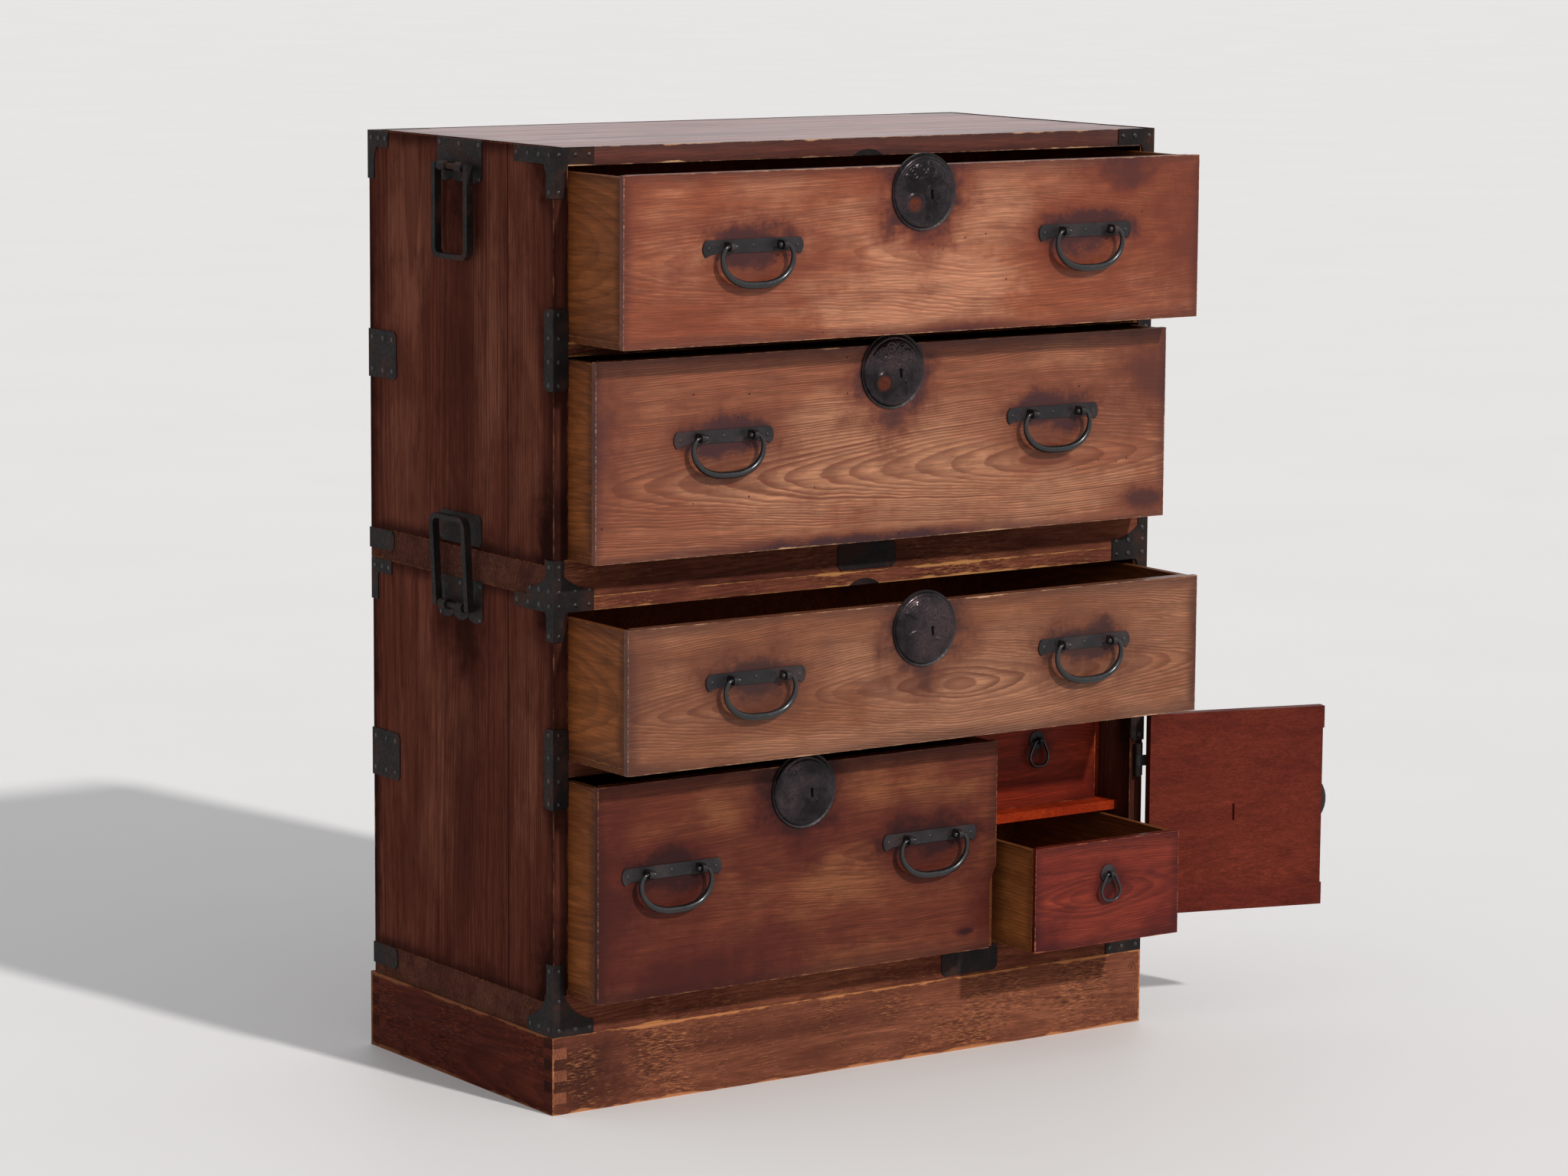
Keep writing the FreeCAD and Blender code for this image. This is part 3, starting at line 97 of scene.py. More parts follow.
class Graph:
    """The node tree of a material or of the world, built from short calls."""

    def __init__(self, owner: Union[Material, World]) -> None:
        """Starts an empty tree.

        Args:
            owner: The material or world.
        """
        self.owner = owner
        owner.use_nodes = True
        self.tree = owner.node_tree
        self.tree.nodes.clear()

    def add(self, kind: str, feeds: dict[Union[int, str], Feed], **settings: object) -> Node:
        """Adds a node and feeds its inputs.

        Args:
            kind: The node's type name.
            feeds: What each input gets, by index or name: a number, a colour or another socket.
            **settings: Properties of the node.

        Returns:
            The new node.
        """
        node = self.tree.nodes.new(kind)
        for name, setting in settings.items():
            setattr(node, name, setting)
        for key, feed in feeds.items():
            if isinstance(feed, NodeSocket):
                self.tree.links.new(feed, node.inputs[key])
            else:
                node.inputs[key].default_value = feed
        return node

    def math(self, operation: str, first: Feed, second: Feed = 0.0) -> Feed:
        """Adds one step of arithmetic by its operation's name."""
        return self.add("ShaderNodeMath", {0: first, 1: second}, operation=operation).outputs[0]

    def plus(self, *terms: Feed) -> Feed:
        """Adds several values."""
        return reduce(lambda total, term: self.math("ADD", total, term), terms)

    def times(self, first: Feed, second: Feed) -> Feed:
        """Multiplies two values."""
        return self.math("MULTIPLY", first, second)

    def swing(self, noise: Feed, span: float) -> Feed:
        """Centres a noise on zero and widens it to a span."""
        return self.times(self.plus(noise, -0.5), span)

    def slant(self, first: Feed, second: Feed) -> Feed:
        """Gives the length of a slant from its two legs."""
        return self.math("SQRT", self.plus(self.math("POWER", first, 2.0), self.math("POWER", second, 2.0)))

    def smooth(self, value: Feed, low: float, high: float, start: float = 0.0, end: float = 1.0) -> Feed:
        """Carries a value smoothly from the range low to high to the range start to end."""
        return self.add("ShaderNodeMapRange", {0: value, 1: low, 2: high, 3: start, 4: end},
                        interpolation_type="SMOOTHSTEP").outputs[0]

    def mix(self, share: Feed, first: Feed, second: Feed, blend: str = "MIX") -> Feed:
        """Mixes a share of the second colour into the first, blended in the way named."""
        return self.add("ShaderNodeMix", {0: share, 6: first, 7: second}, data_type="RGBA",
                        blend_type=blend).outputs[2]

    def read(self, kind: str) -> tuple[Feed, ...]:
        """Gives the X, Y and Z of the point at rest (Object) or of its direction (Normal)."""
        where = self.add("ShaderNodeTexCoord", {}).outputs[kind]
        return tuple(self.add("ShaderNodeSeparateXYZ", {0: where}).outputs)

    def point(self, x: Feed, y: Feed, z: Feed) -> Feed:
        """Joins three values into a point."""
        return self.add("ShaderNodeCombineXYZ", {0: x, 1: y, 2: z}).outputs[0]

    def noise(self, point: Feed, scale: float, detail: float = 2.0, rough: float = 0.5) -> Feed:
        """Reads a noise at a point: its features to the unit, its finer layers and their strength."""
        return self.add("ShaderNodeTexNoise", {"Vector": point, "Scale": scale, "Detail": detail,
                                               "Roughness": rough}).outputs[0]

    def finish(self, colour: Feed, roughness: Feed, height: Feed, **fixed: float) -> Material:
        """Closes a material's tree with a shader.

        Args:
            colour: The base colour.
            roughness: The roughness.
            height: The height that gives the bump, in metres.
            **fixed: Plain numbers for the shader's other inputs, with underscores for spaces.

        Returns:
            The finished material.
        """
        bump = self.add("ShaderNodeBump", {"Height": height, "Strength": 1.0, "Distance": 1.0})
        feeds: dict[Union[int, str], Feed] = {"Base Color": colour, "Roughness": roughness,
                                              "Normal": bump.outputs[0]}
        feeds.update({name.replace("_", " "): value for name, value in fixed.items()})
        shader = self.add("ShaderNodeBsdfPrincipled", feeds)
        self.add("ShaderNodeOutputMaterial", {0: shader.outputs[0]})
        return self.owner


@dataclass(frozen=True)
class Smudge:
    """A dark halo that hands left on a face, or with a negative strength a place that was rubbed pale."""

    along: float
    across: float
    half_along: float
    half_across: float
    strength: float = 1.0


def smudges(*rows: tuple[float, ...]) -> tuple[Smudge, ...]:
    """Makes a smudge of each row of numbers."""
    return tuple(Smudge(*row) for row in rows)


@dataclass(frozen=True)
class Weave:
    """A noise drawn out along the grain, moved by shares of its board's seed."""

    lengthwise: float
    crosswise: float
    detail: float = 3.0
    rough: float = 0.6
    slip: float = 0.0
    sink: float = 0.0


FIBRE = Weave(26.0, 700.0)
GRAIN = Weave(9.0, 190.0, sink=1.0)
STREAK = Weave(2.4, 60.0, 4.0, slip=1.0)
CLOUD = Weave(4.0, 9.0, 5.0, 0.62, slip=1.0)
PATCH = Weave(15.0, 32.0, 4.0, 0.65, sink=1.0)
RAGGED = Weave(55.0, 260.0, 4.0, 0.68)
SCRAPE = Weave(90.0, 620.0, 5.0, 0.75)
DRIFT = Weave(2.2, 9.0, 2.0, 0.5, slip=1.0)


@dataclass(frozen=True)
class Board:
    """How a board lies and how it was sawn from the tree."""

    low: Vector
    high: Vector
    grain: Axis
    across: Axis
    heart_along: float = 0.0
    heart_across: float = 0.0
    heart_depth: float = 0.06
    taper: float = 0.03
    seed: float = 0.0
    seam: Optional[float] = None

    def depth_axis(self) -> Axis:
        """The direction through the board's thickness."""
        return Axis(3 - self.grain.value - self.across.value)


# How far the grain of the second plank is out of step with the first, along it and in depth
SEAM_SLIP = -0.731
SEAM_SINK = 0.057


class BoardGraph(Graph):
    """The node tree of a board's material, which knows how the board lies."""

    def __init__(self, name: str, board: Board) -> None:
        """Starts the board's tree.

        Args:
            name: The material's name.
            board: The board.
        """
        super().__init__(bpy.data.materials.new(name))
        self.board = board
        self.axes = self.read("Object")
        self.along = self.axes[board.grain.value]
        self.across = self.axes[board.across.value]
        self.depth = self.axes[board.depth_axis().value]
        if board.seam is not None:
            beyond = self.math("GREATER_THAN", self.across, board.seam)
            self.along = self.plus(self.along, self.times(beyond, SEAM_SLIP))
            self.depth = self.plus(self.depth, self.times(beyond, SEAM_SINK))

    def weave(self, kind: Weave, scale: float = 1.0) -> Feed:
        """Reads a noise that is drawn out along the grain.

        Args:
            kind: The noise.
            scale: How much finer it is than its kind.

        Returns:
            The noise's socket.
        """
        along = self.plus(self.along, self.board.seed * kind.slip) if kind.slip else self.along
        depth = self.plus(self.depth, self.board.seed * kind.sink) if kind.sink else self.depth
        point = self.point(self.times(along, kind.lengthwise), self.times(self.across, kind.crosswise),
                           self.times(depth, kind.crosswise))
        return self.noise(point, scale, kind.detail, kind.rough)

    def late_wood(self, gap: float) -> Feed:
        """Draws the year rings that the saw cut through.

        Args:
            gap: The distance between two rings.

        Returns:
            How dark the late wood is.
        """
        board = self.board
        wander, ripple = self.weave(DRIFT), self.weave(DRIFT, 7.0)
        aside = self.plus(self.across, -board.heart_across, self.swing(wander, 0.035),
                          self.swing(ripple, 0.005))
        below = self.plus(self.times(self.depth, 0.5), board.heart_depth)
        away = self.plus(self.along, -board.heart_along, self.swing(ripple, 0.03))
        reach = self.math("SQRT", self.plus(self.math("POWER", away, 2.0), 0.0006))
        radius = self.plus(self.slant(aside, below), self.times(reach, board.taper))
        years = self.noise(self.point(radius, board.seed, 0.0), 90.0, 2.0, 0.6)
        phase = self.math("FRACT", self.plus(self.times(radius, 1 / gap), self.times(years, 3.0)))
        late = self.times(self.smooth(phase, 0.1, 0.86), self.smooth(phase, 0.9, 1.0, 1.0, 0.0))
        return self.times(late, self.smooth(years, 0.3, 0.62, 0.35, 1.0))

    def halo(self, marks: Sequence[Smudge]) -> Feed:
        """Measures how deep a point lies in smudges, with ragged, dripping edges.

        Args:
            marks: The smudges, whose strengths count without their sign.

        Returns:
            The depth, from 0 outside them to 1.
        """
        along = self.axes[self.board.grain.value]
        seed = self.board.seed
        rags, drips = (
            self.noise(self.point(self.times(along, lengthwise), self.times(self.across, crosswise), seed),
                       1.0, detail, rough)
            for lengthwise, crosswise, detail, rough in ((17.0, 24.0, 6.0, 0.68), (70.0, 16.0, 3.0, 0.6)))
        uneven = self.plus(self.swing(rags, 1.5), self.swing(drips, 0.3))
        masks = []
        for mark in marks:
            run = self.times(self.plus(along, -mark.along), 1 / mark.half_along)
            rise = self.times(self.plus(self.across, -mark.across), 1 / mark.half_across)
            far = self.plus(self.slant(run, rise), uneven)
            masks.append(self.smooth(far, 0.1, 1.25, abs(mark.strength), 0.0))
        return reduce(lambda total, mask: self.math("MAXIMUM", total, mask), masks)

    def arris(self) -> Feed:
        """Measures how far a point lies from the nearest arris.

        Returns:
            The distance.
        """
        away = []
        for axis, low, high in zip(self.axes, self.board.low, self.board.high):
            ends = (self.math("ABSOLUTE", self.plus(axis, -end)) for end in (low, high))
            away.append(self.math("MINIMUM", *ends))
        first, second, third = away
        lesser = self.math("MINIMUM", first, second)
        greater = self.math("MAXIMUM", first, second)
        return self.math("MAXIMUM", lesser, self.math("MINIMUM", greater, third))


# How far each feature of the wood stands out of its surface
LATE_RISE = -0.04 * MM
FIBRE_RISE = 0.06 * MM
PIT_RISE = -0.6 * MM
WORN_RISE = -0.3 * MM
RAGGED_RISE = 0.12 * MM


@dataclass(frozen=True)
class Timber:
    """An oiled softwood surface: its tones, its figure, its wear and its gloss.

    The faces that don't look along the broad axis are multiplied by a tone that is partly their own tint
    and partly painted shade; the edge chips scale the wear on those faces.
    """

    light: Tone
    middle: Tone
    dark: Tone
    stain: Tone
    bare: Tone
    ring_gap: float = 0.0026
    figure: float = 0.5
    streaks: float = 0.35
    blotches: float = 0.4
    wear: float = 0.3
    edge_width: float = 0.0014
    scuffs: float = 0.0
    grime: float = 0.5
    roughness: float = 0.42
    gloss: float = 0.22
    coat: float = 0.0
    specks: float = 0.7
    broad: Optional[Axis] = None
    edge_tint_and_shade: Tone = (1.0, 1.0, 1.0, 1.0)
    edge_chips: float = 1.0
    seam_line: Tone = tone(20, 9, 8)
    pit_floor: Tone = tone(26, 13, 11)

    def dress(self, name: str, board: Board, marks: Sequence[Smudge] = ()) -> Material:
        """Makes this timber's material for one board.

        Args:
            name: The material's name.
            board: The board.
            marks: The smudges on its face.

        Returns:
            The material.
        """
        g = BoardGraph(name, board)
        fibre, grain, streak = g.weave(FIBRE), g.weave(GRAIN), g.weave(STREAK)
        cloud, patch, ragged = g.weave(CLOUD), g.weave(PATCH), g.weave(RAGGED)
        patches = g.noise(g.point(*g.axes), 9.0, 3.0, 0.6)
        late = g.times(g.late_wood(self.ring_gap), g.smooth(fibre, 0.3, 0.6, 0.5, 1.15))
        mottle = g.plus(g.swing(cloud, 3.4), 0.5)
        rubbed = [mark for mark in marks if mark.strength < 0]
        if rubbed:
            mottle = g.plus(mottle, g.times(g.halo(rubbed), -1.0), 0.35)
        colour = g.mix(g.smooth(mottle, 0.0, 1.0), self.light, self.middle)
        for mask, share in ((g.smooth(patch, 0.48, 0.72), self.blotches),
                            (g.smooth(streak, 0.45, 0.75), self.streaks), (late, self.figure)):
            colour = g.mix(g.times(mask, share), colour, self.dark)
        shade = g.times(g.smooth(fibre, 0.25, 0.75, 0.7, 1.26), g.smooth(grain, 0.3, 0.7, 0.86, 1.12))
        colour = g.mix(1.0, colour, g.point(shade, shade, shade), "MULTIPLY")
        stained = [mark for mark in marks if mark.strength > 0]
        if stained:
            halo = g.halo(stained)
            colour = g.mix(g.smooth(halo, 0.0, 0.7, 0.0, 0.88), colour, self.dark)
            colour = g.mix(g.smooth(halo, 0.5, 0.9, 0.0, 0.9), colour, self.stain)
        arris = g.arris()
        soiled = g.smooth(g.plus(arris, g.swing(cloud, 0.03)), 0.0, 0.018, self.grime, 0.0)
        colour = g.mix(soiled, colour, self.stain)
        worn = self._worn(g, arris, ragged, patches)
        if self.scuffs:
            scrape = g.weave(SCRAPE)
            patchy = g.smooth(patches, 0.35, 0.65, 0.0, 0.12)
            scraped = g.smooth(g.plus(scrape, patchy), 0.62, 0.78)
            dented = g.smooth(g.plus(scrape, g.times(patchy, -1.0)), 0.24, 0.42, 1.0, 0.0)
            colour = g.mix(g.times(scraped, self.scuffs), colour, self.bare)
            colour = g.mix(g.times(dented, self.scuffs), colour, self.stain)
        if self.broad is not None:
            turned = g.smooth(g.math("ABSOLUTE", g.read("Normal")[self.broad.value]), 0.4, 0.8, 1.0, 0.0)
            # Painted shade, partly the faces' own tint: faces turned from the broad axis are multiplied
            # darker
            colour = g.mix(turned, colour, self.edge_tint_and_shade, "MULTIPLY")
            worn = g.times(worn, g.plus(g.times(turned, self.edge_chips - 1.0), 1.0))
        colour = g.mix(worn, colour, self.bare)
        if board.seam is not None:
            line = g.smooth(g.math("ABSOLUTE", g.plus(g.across, -board.seam)), 0.4 * MM, 1.5 * MM, 0.9, 0.0)
            colour = g.mix(line, colour, self.seam_line)
        pit = self._pits(g, patches)
        colour = g.mix(pit, colour, self.pit_floor)
        rough = g.plus(g.smooth(streak, 0.3, 0.7, self.roughness - 0.05, self.roughness + 0.08),
                       g.times(worn, 0.2))
        height = g.plus(g.times(late, LATE_RISE), g.times(fibre, FIBRE_RISE), g.times(pit, PIT_RISE),
                        g.times(worn, WORN_RISE), g.times(ragged, RAGGED_RISE))
        return g.finish(colour, rough, height, Coat_Weight=self.coat, Coat_Roughness=0.3,
                        Specular_IOR_Level=self.gloss)

    def _worn(self, g: Graph, arris: Feed, ragged: Feed, patches: Feed) -> Feed:
        """Finds where the finish has gone from the arrises, in chips of uneven width.

        Args:
            g: The material's graph.
            arris: The distance from the nearest arris.
            ragged: A fine noise.
            patches: A slow noise.

        Returns:
            The mask.
        """
        width = g.smooth(patches, 0.66 - 0.28 * self.wear, 0.86 - 0.28 * self.wear, 0.15, 2.2)
        far = g.plus(g.times(arris, 1 / self.edge_width), g.swing(ragged, 4.0), g.times(width, -1.0))
        return g.smooth(far, -0.9, 0.5, 0.92, 0.0)

    def _pits(self, g: BoardGraph, patches: Feed) -> Feed:
        """Scatters worm holes and dents in clusters.

        Args:
            g: The material's graph.
            patches: A slow noise that gathers them.

        Returns:
            The mask.
        """
        spots = g.add("ShaderNodeTexVoronoi", {"Vector": g.point(*g.axes), "Scale": 62.0})
        parts = g.add("ShaderNodeSeparateColor", {0: spots.outputs["Color"]})
        chosen = g.math("GREATER_THAN", g.plus(parts.outputs[0], g.times(patches, 0.9)), 1.3)
        size = g.smooth(parts.outputs[1], 0.0, 1.0, 0.035, 0.1)
        edge = g.plus(size, g.times(spots.outputs["Distance"], -1.0))
        return g.times(g.times(g.smooth(edge, 0.0, 0.03), chosen), self.specks)


@dataclass(frozen=True)
class Iron:
    """Blackened iron: its tones, its rust and its hammered, lacquered surface."""

    dark: Tone
    light: Tone
    rust: Tone
    rust_share: float = 0.12
    roughness: float = 0.4
    metal: float = 0.55
    hammering: float = 0.25 * MM
    pitting: float = 0.0
    coat: float = 0.0
    gloss: float = 0.5
    copper: Tone = tone(104, 46, 24)

    def dress(self, name: str, inlay: Optional[Vector] = None) -> Material:
        """Makes the material.

        Args:
            name: The material's name.
            inlay: Where its coppery patch sits, if it has one.

        Returns:
            The material.
        """
        g = Graph(bpy.data.materials.new(name))
        axes = g.read("Object")
        point = g.point(*axes)
        broad = g.noise(point, 24.0, 4.0, 0.6)
        fine = g.noise(point, 260.0, 3.0, 0.6)
        blows = g.add("ShaderNodeTexVoronoi", {"Vector": point, "Scale": 130.0},
                      feature="SMOOTH_F1").outputs["Distance"]
        colour = g.mix(g.smooth(broad, 0.35, 0.7), self.dark, self.light)
        bloom = g.times(g.smooth(g.plus(broad, g.times(fine, 0.4)), 0.72, 0.86), self.rust_share * 4)
        colour = g.mix(g.math("MINIMUM", bloom, 0.8), colour, self.rust)
        rough = g.plus(g.smooth(fine, 0.3, 0.7, self.roughness - 0.08, self.roughness + 0.1),
                       g.times(bloom, 0.25))
        height = g.plus(g.times(blows, self.hammering), g.times(fine, self.hammering * 0.35))
        if self.pitting:
            grit = g.noise(point, 520.0, 2.0, 0.6)
            pitted = g.times(g.smooth(broad, 0.42, 0.58), g.smooth(grit, 0.56, 0.64))
            height = g.plus(height, g.times(pitted, -self.pitting))
            colour = g.mix(g.times(pitted, 0.6), colour, self.dark)
        if inlay is not None:
            away = g.slant(g.plus(axes[0], -inlay.x), g.plus(axes[2], -inlay.z))
            near = g.smooth(g.plus(away, g.swing(fine, 9 * MM)), 5 * MM, 12.5 * MM, 0.9, 0.0)
            colour = g.mix(g.times(near, g.smooth(fine, 0.25, 0.6, 0.25, 1.0)), colour, self.copper)
        return g.finish(colour, rough, height, Metallic=self.metal, Coat_Weight=self.coat,
                        Coat_Roughness=0.18, Specular_IOR_Level=self.gloss)


class Finish:
    """The finishes of this chest."""

    UPPER_FRONT = Timber(
        tone(172, 116, 87), tone(133, 70, 44), tone(100, 42, 25), tone(52, 21, 24), tone(196, 146, 106),
        figure=0.6, wear=0.35, coat=0.03)
    WIDE_FRONT = Timber(
        tone(166, 114, 84), tone(136, 80, 55), tone(95, 45, 29), tone(52, 24, 27), tone(190, 146, 108),
        figure=0.85, wear=0.4, specks=0.95, coat=0.03)
    PALE_FRONT = Timber(
        tone(149, 101, 74), tone(126, 76, 49), tone(87, 44, 28), tone(48, 23, 22), tone(180, 138, 106),
        figure=0.8, blotches=0.25, coat=0.03)
    RED_FRONT = Timber(
        tone(129, 78, 50), tone(96, 46, 31), tone(67, 25, 20), tone(40, 18, 18), tone(160, 108, 76),
        streaks=0.5, wear=0.35, gloss=0.1)
    SIDE = Timber(
        tone(117, 70, 55), tone(95, 52, 41), tone(58, 28, 23), tone(35, 18, 16), tone(150, 92, 54),
        ring_gap=0.0045, streaks=0.6, wear=0.25, grime=0.7, gloss=0.0, roughness=0.6)
    TOP = Timber(
        tone(151, 103, 95), tone(130, 84, 77), tone(90, 50, 44), tone(56, 28, 28), tone(196, 150, 110),
        roughness=0.34, coat=0.12, gloss=0.3, streaks=0.6, blotches=0.6, grime=0.6, wear=0.5, broad=Z,
        edge_tint_and_shade=(0.56, 0.31, 0.21, 1.0))
    RAIL = Timber(
        tone(119, 69, 51), tone(94, 51, 40), tone(59, 28, 24), tone(36, 17, 16), tone(178, 122, 74),
        wear=0.5, gloss=0.0, grime=0.15, scuffs=0.35, broad=Y, edge_tint_and_shade=(0.7, 0.86, 0.98, 1.0),
        edge_chips=0.15)
    LEDGE = Timber(
        tone(136, 79, 59), tone(109, 59, 47), tone(67, 32, 28), tone(40, 20, 18), tone(180, 126, 78),
        wear=0.8, edge_width=0.0015, gloss=0.0, grime=0.1, scuffs=0.75)
    PLINTH = Timber(
        tone(130, 78, 57), tone(113, 65, 47), tone(74, 39, 30), tone(50, 27, 22), tone(172, 112, 72),
        wear=0.9, edge_width=0.002, scuffs=0.75, specks=1.0, gloss=0.04, grime=0.0, blotches=0.35,
        roughness=0.6, broad=Y, edge_tint_and_shade=(0.46, 0.25, 0.22, 1.0), edge_chips=0.4)
    INNER = Timber(
        tone(110, 62, 42), tone(86, 46, 34), tone(52, 27, 22), tone(30, 15, 14), tone(160, 112, 78),
        gloss=0.08, roughness=0.65, wear=0.1)
    DRAWER_BOX = Timber(
        tone(141, 81, 40), tone(116, 63, 31), tone(77, 41, 20), tone(50, 24, 13), tone(150, 100, 60),
        ring_gap=0.0038, figure=0.45, gloss=0.1, roughness=0.6, wear=0.1, specks=0.3, grime=0.6)
    SMALL_BOX = Timber(
        tone(156, 94, 50), tone(130, 76, 40), tone(88, 48, 25), tone(52, 27, 15), tone(160, 108, 64),
        ring_gap=0.0038, figure=0.45, gloss=0.05, roughness=0.6, wear=0.1, specks=0.3, grime=0.5)
    COMPARTMENT = Timber(
        tone(172, 60, 24), tone(146, 44, 17), tone(108, 25, 11), tone(50, 12, 8), tone(178, 96, 60),
        roughness=0.45, gloss=0.05, wear=0.1)
    DIVIDER = replace(COMPARTMENT, broad=X, edge_tint_and_shade=(0.46, 1.2, 2.6, 1.0), edge_chips=0.6)
    # The upper small front: the small fronts' red wood made paler and more orange, a painted bounce of
    # light off the red lining
    SHELTERED_FRONT = Timber(
        tone(150, 52, 25), tone(122, 37, 18), tone(84, 21, 13), tone(42, 12, 10), tone(170, 92, 58),
        gloss=0.08, wear=0.25, blotches=0.5)
    SMALL_FRONT = Timber(
        tone(123, 48, 32), tone(100, 32, 23), tone(68, 18, 16), tone(40, 12, 16), tone(168, 92, 62),
        roughness=0.36, gloss=0.12, coat=0.02, blotches=0.6, figure=0.6)
    DOOR = Timber(
        tone(105, 42, 28), tone(92, 34, 24), tone(68, 23, 17), tone(45, 16, 12), tone(138, 68, 48),
        roughness=0.45, gloss=0.06, figure=0.3, streaks=0.4, specks=0.4, wear=0.1, grime=0.3)
    PLATE = Iron(
        tone(21, 18, 20), tone(44, 38, 41), tone(70, 40, 28), rust_share=0.06, metal=0.1, roughness=0.5,
        gloss=0.3)
    CORNER = Iron(
        tone(18, 13, 13), tone(36, 27, 25), tone(62, 33, 22), rust_share=0.14, metal=0.0, roughness=0.62,
        gloss=0.15)
    BAR = Iron(
        tone(9, 8, 9), tone(21, 18, 19), tone(52, 30, 22), rust_share=0.02, metal=0.0, roughness=0.25,
        hammering=0.06 * MM, coat=0.3, gloss=0.4)
    LOCK = Iron(
        tone(24, 19, 21), tone(62, 53, 57), tone(84, 44, 28), rust_share=0.04, metal=0.85, roughness=0.27,
        hammering=0.2 * MM, pitting=0.4 * MM, coat=0.06)
    NAIL = Iron(tone(22, 18, 18), tone(42, 36, 35), tone(70, 40, 26), metal=0.2)


def wear(node: str, material: Material) -> None:
    """Gives a CAD node its finish in every one of its material slots.

    Args:
        node: The node's name.
        material: The finish.
    """
    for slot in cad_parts[node].material_slots:
        slot.material = material
    LOG.info("dressed %s with %s", node, material.name)


def lay(node: str, timber: Timber, grain: Axis, across: Axis, marks: Sequence[Smudge] = (),
        **sawn: object) -> None:
    """Dresses a CAD board in timber.

    Args:
        node: The node's name.
        timber: The timber.
        grain: The direction that the grain runs.
        across: The direction of the board's width.
        marks: The smudges on its face.
        **sawn: How the board was sawn, as fields of Board.
    """
    low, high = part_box(node)
    board = Board(low, high, grain, across, **{"seed": sum(map(ord, node)) * 0.137 % 9, **sawn})
    wear(node, timber.dress(f"{node}_timber", board, marks))


def stand(name: str, data: bpy.types.ID) -> Object:
    """Puts a mesh, a camera or a light into the scene.

    Args:
        name: The object's name.
        data: The mesh, the camera or the light.

    Returns:
        The new object.
    """
    thing = bpy.data.objects.new(name, data)
    bpy.context.scene.collection.objects.link(thing)
    return thing


def new_piece(name: str, mesh: BMesh, body: str, finish: Material) -> Object:
    """Turns a mesh into an iron piece that rides on a body.

    Args:
        name: The piece's name.
        mesh: The mesh, which is used up.
        body: The CAD body that it rides on.
        finish: Its finish.

    Returns:
        The new piece.
    """
    data = bpy.data.meshes.new(name)
    bmesh.ops.recalc_face_normals(mesh, faces=mesh.faces[:])
    mesh.to_mesh(data)
    mesh.free()
    data.polygons.foreach_set("use_smooth", [True] * len(data.polygons))
    data.materials.append(finish)
    piece = stand(name, data)
    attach(piece, body)
    LOG.info("built %s on %s", name, body)
    return piece


def corners(count: int) -> list[tuple[float, float]]:
    """Gives the cosine and the sine of each step round a ring."""
    return [(math.cos(step * math.tau / count), math.sin(step * math.tau / count)) for step in range(count)]


def tube(mesh: BMesh, rows: Sequence[Sequence[Vector]]) -> list[Ring]:
    """Adds rings of vertices, each joined to the next by a band of faces.

    Args:
        mesh: The mesh.
        rows: The places of each ring's vertices, as many in each.

    Returns:
        The rings.
    """
    rings = [[mesh.verts.new(place) for place in row] for row in rows]
    for first, second in zip(rings, rings[1:]):
        for index, corner in enumerate(first):
            after = (index + 1) % len(first)
            mesh.faces.new((corner, first[after], second[after], second[index]))
    return rings


def fan(mesh: BMesh, ring: Ring, tip: Vector) -> None:
    """Closes a ring by a fan of faces.

    Args:
        mesh: The mesh.
        ring: The ring.
        tip: The point where the faces meet.
    """
    crown = mesh.verts.new(tip)
    for index, corner in enumerate(ring):
        mesh.faces.new((corner, ring[(index + 1) % len(ring)], crown))


@dataclass
class NailHeads:
    """Domed nail heads on one body's ironwork."""

    name: str
    body: str
    radius: float = 3.1 * MM
    rise: float = 1.3 * MM
    sides: int = 10
    profile: tuple[tuple[float, float], ...] = ((1.0, -0.12), (0.94, 0.32), (0.7, 0.74), (0.36, 0.95))
    seats: list[tuple[Vector, Vector]] = field(default_factory=list)

    def drive(self, x: float, y: float, z: float, axis: Vector) -> None:
        """Drives a nail at a place, with its head facing along the axis."""
        self.seats.append((Vector((x, y, z)), axis))

    def build(self, finish: Material) -> Object:
        """Forges every head into one piece.

        Args:
            finish: Their finish.

        Returns:
            The piece.
        """
        chance = random.Random(self.name)
        mesh = bmesh.new()
        for seat, axis in self.seats:
            turn = axis.to_track_quat("Z", "Y").to_matrix()
            size = self.radius * chance.uniform(0.85, 1.12)
            rise = self.rise * chance.uniform(0.75, 1.1)
            rows = []
            for share, lift in self.profile:
                outs = [size * share * chance.uniform(0.95, 1.05) for _ in range(self.sides)]
                rows.append([seat + turn @ Vector((out * cosine, out * sine, rise * lift))
                             for out, (cosine, sine) in zip(outs, corners(self.sides))])
            fan(mesh, tube(mesh, rows)[-1], seat + turn @ Vector((0, 0, rise)))
        return new_piece(self.name, mesh, self.body, finish)


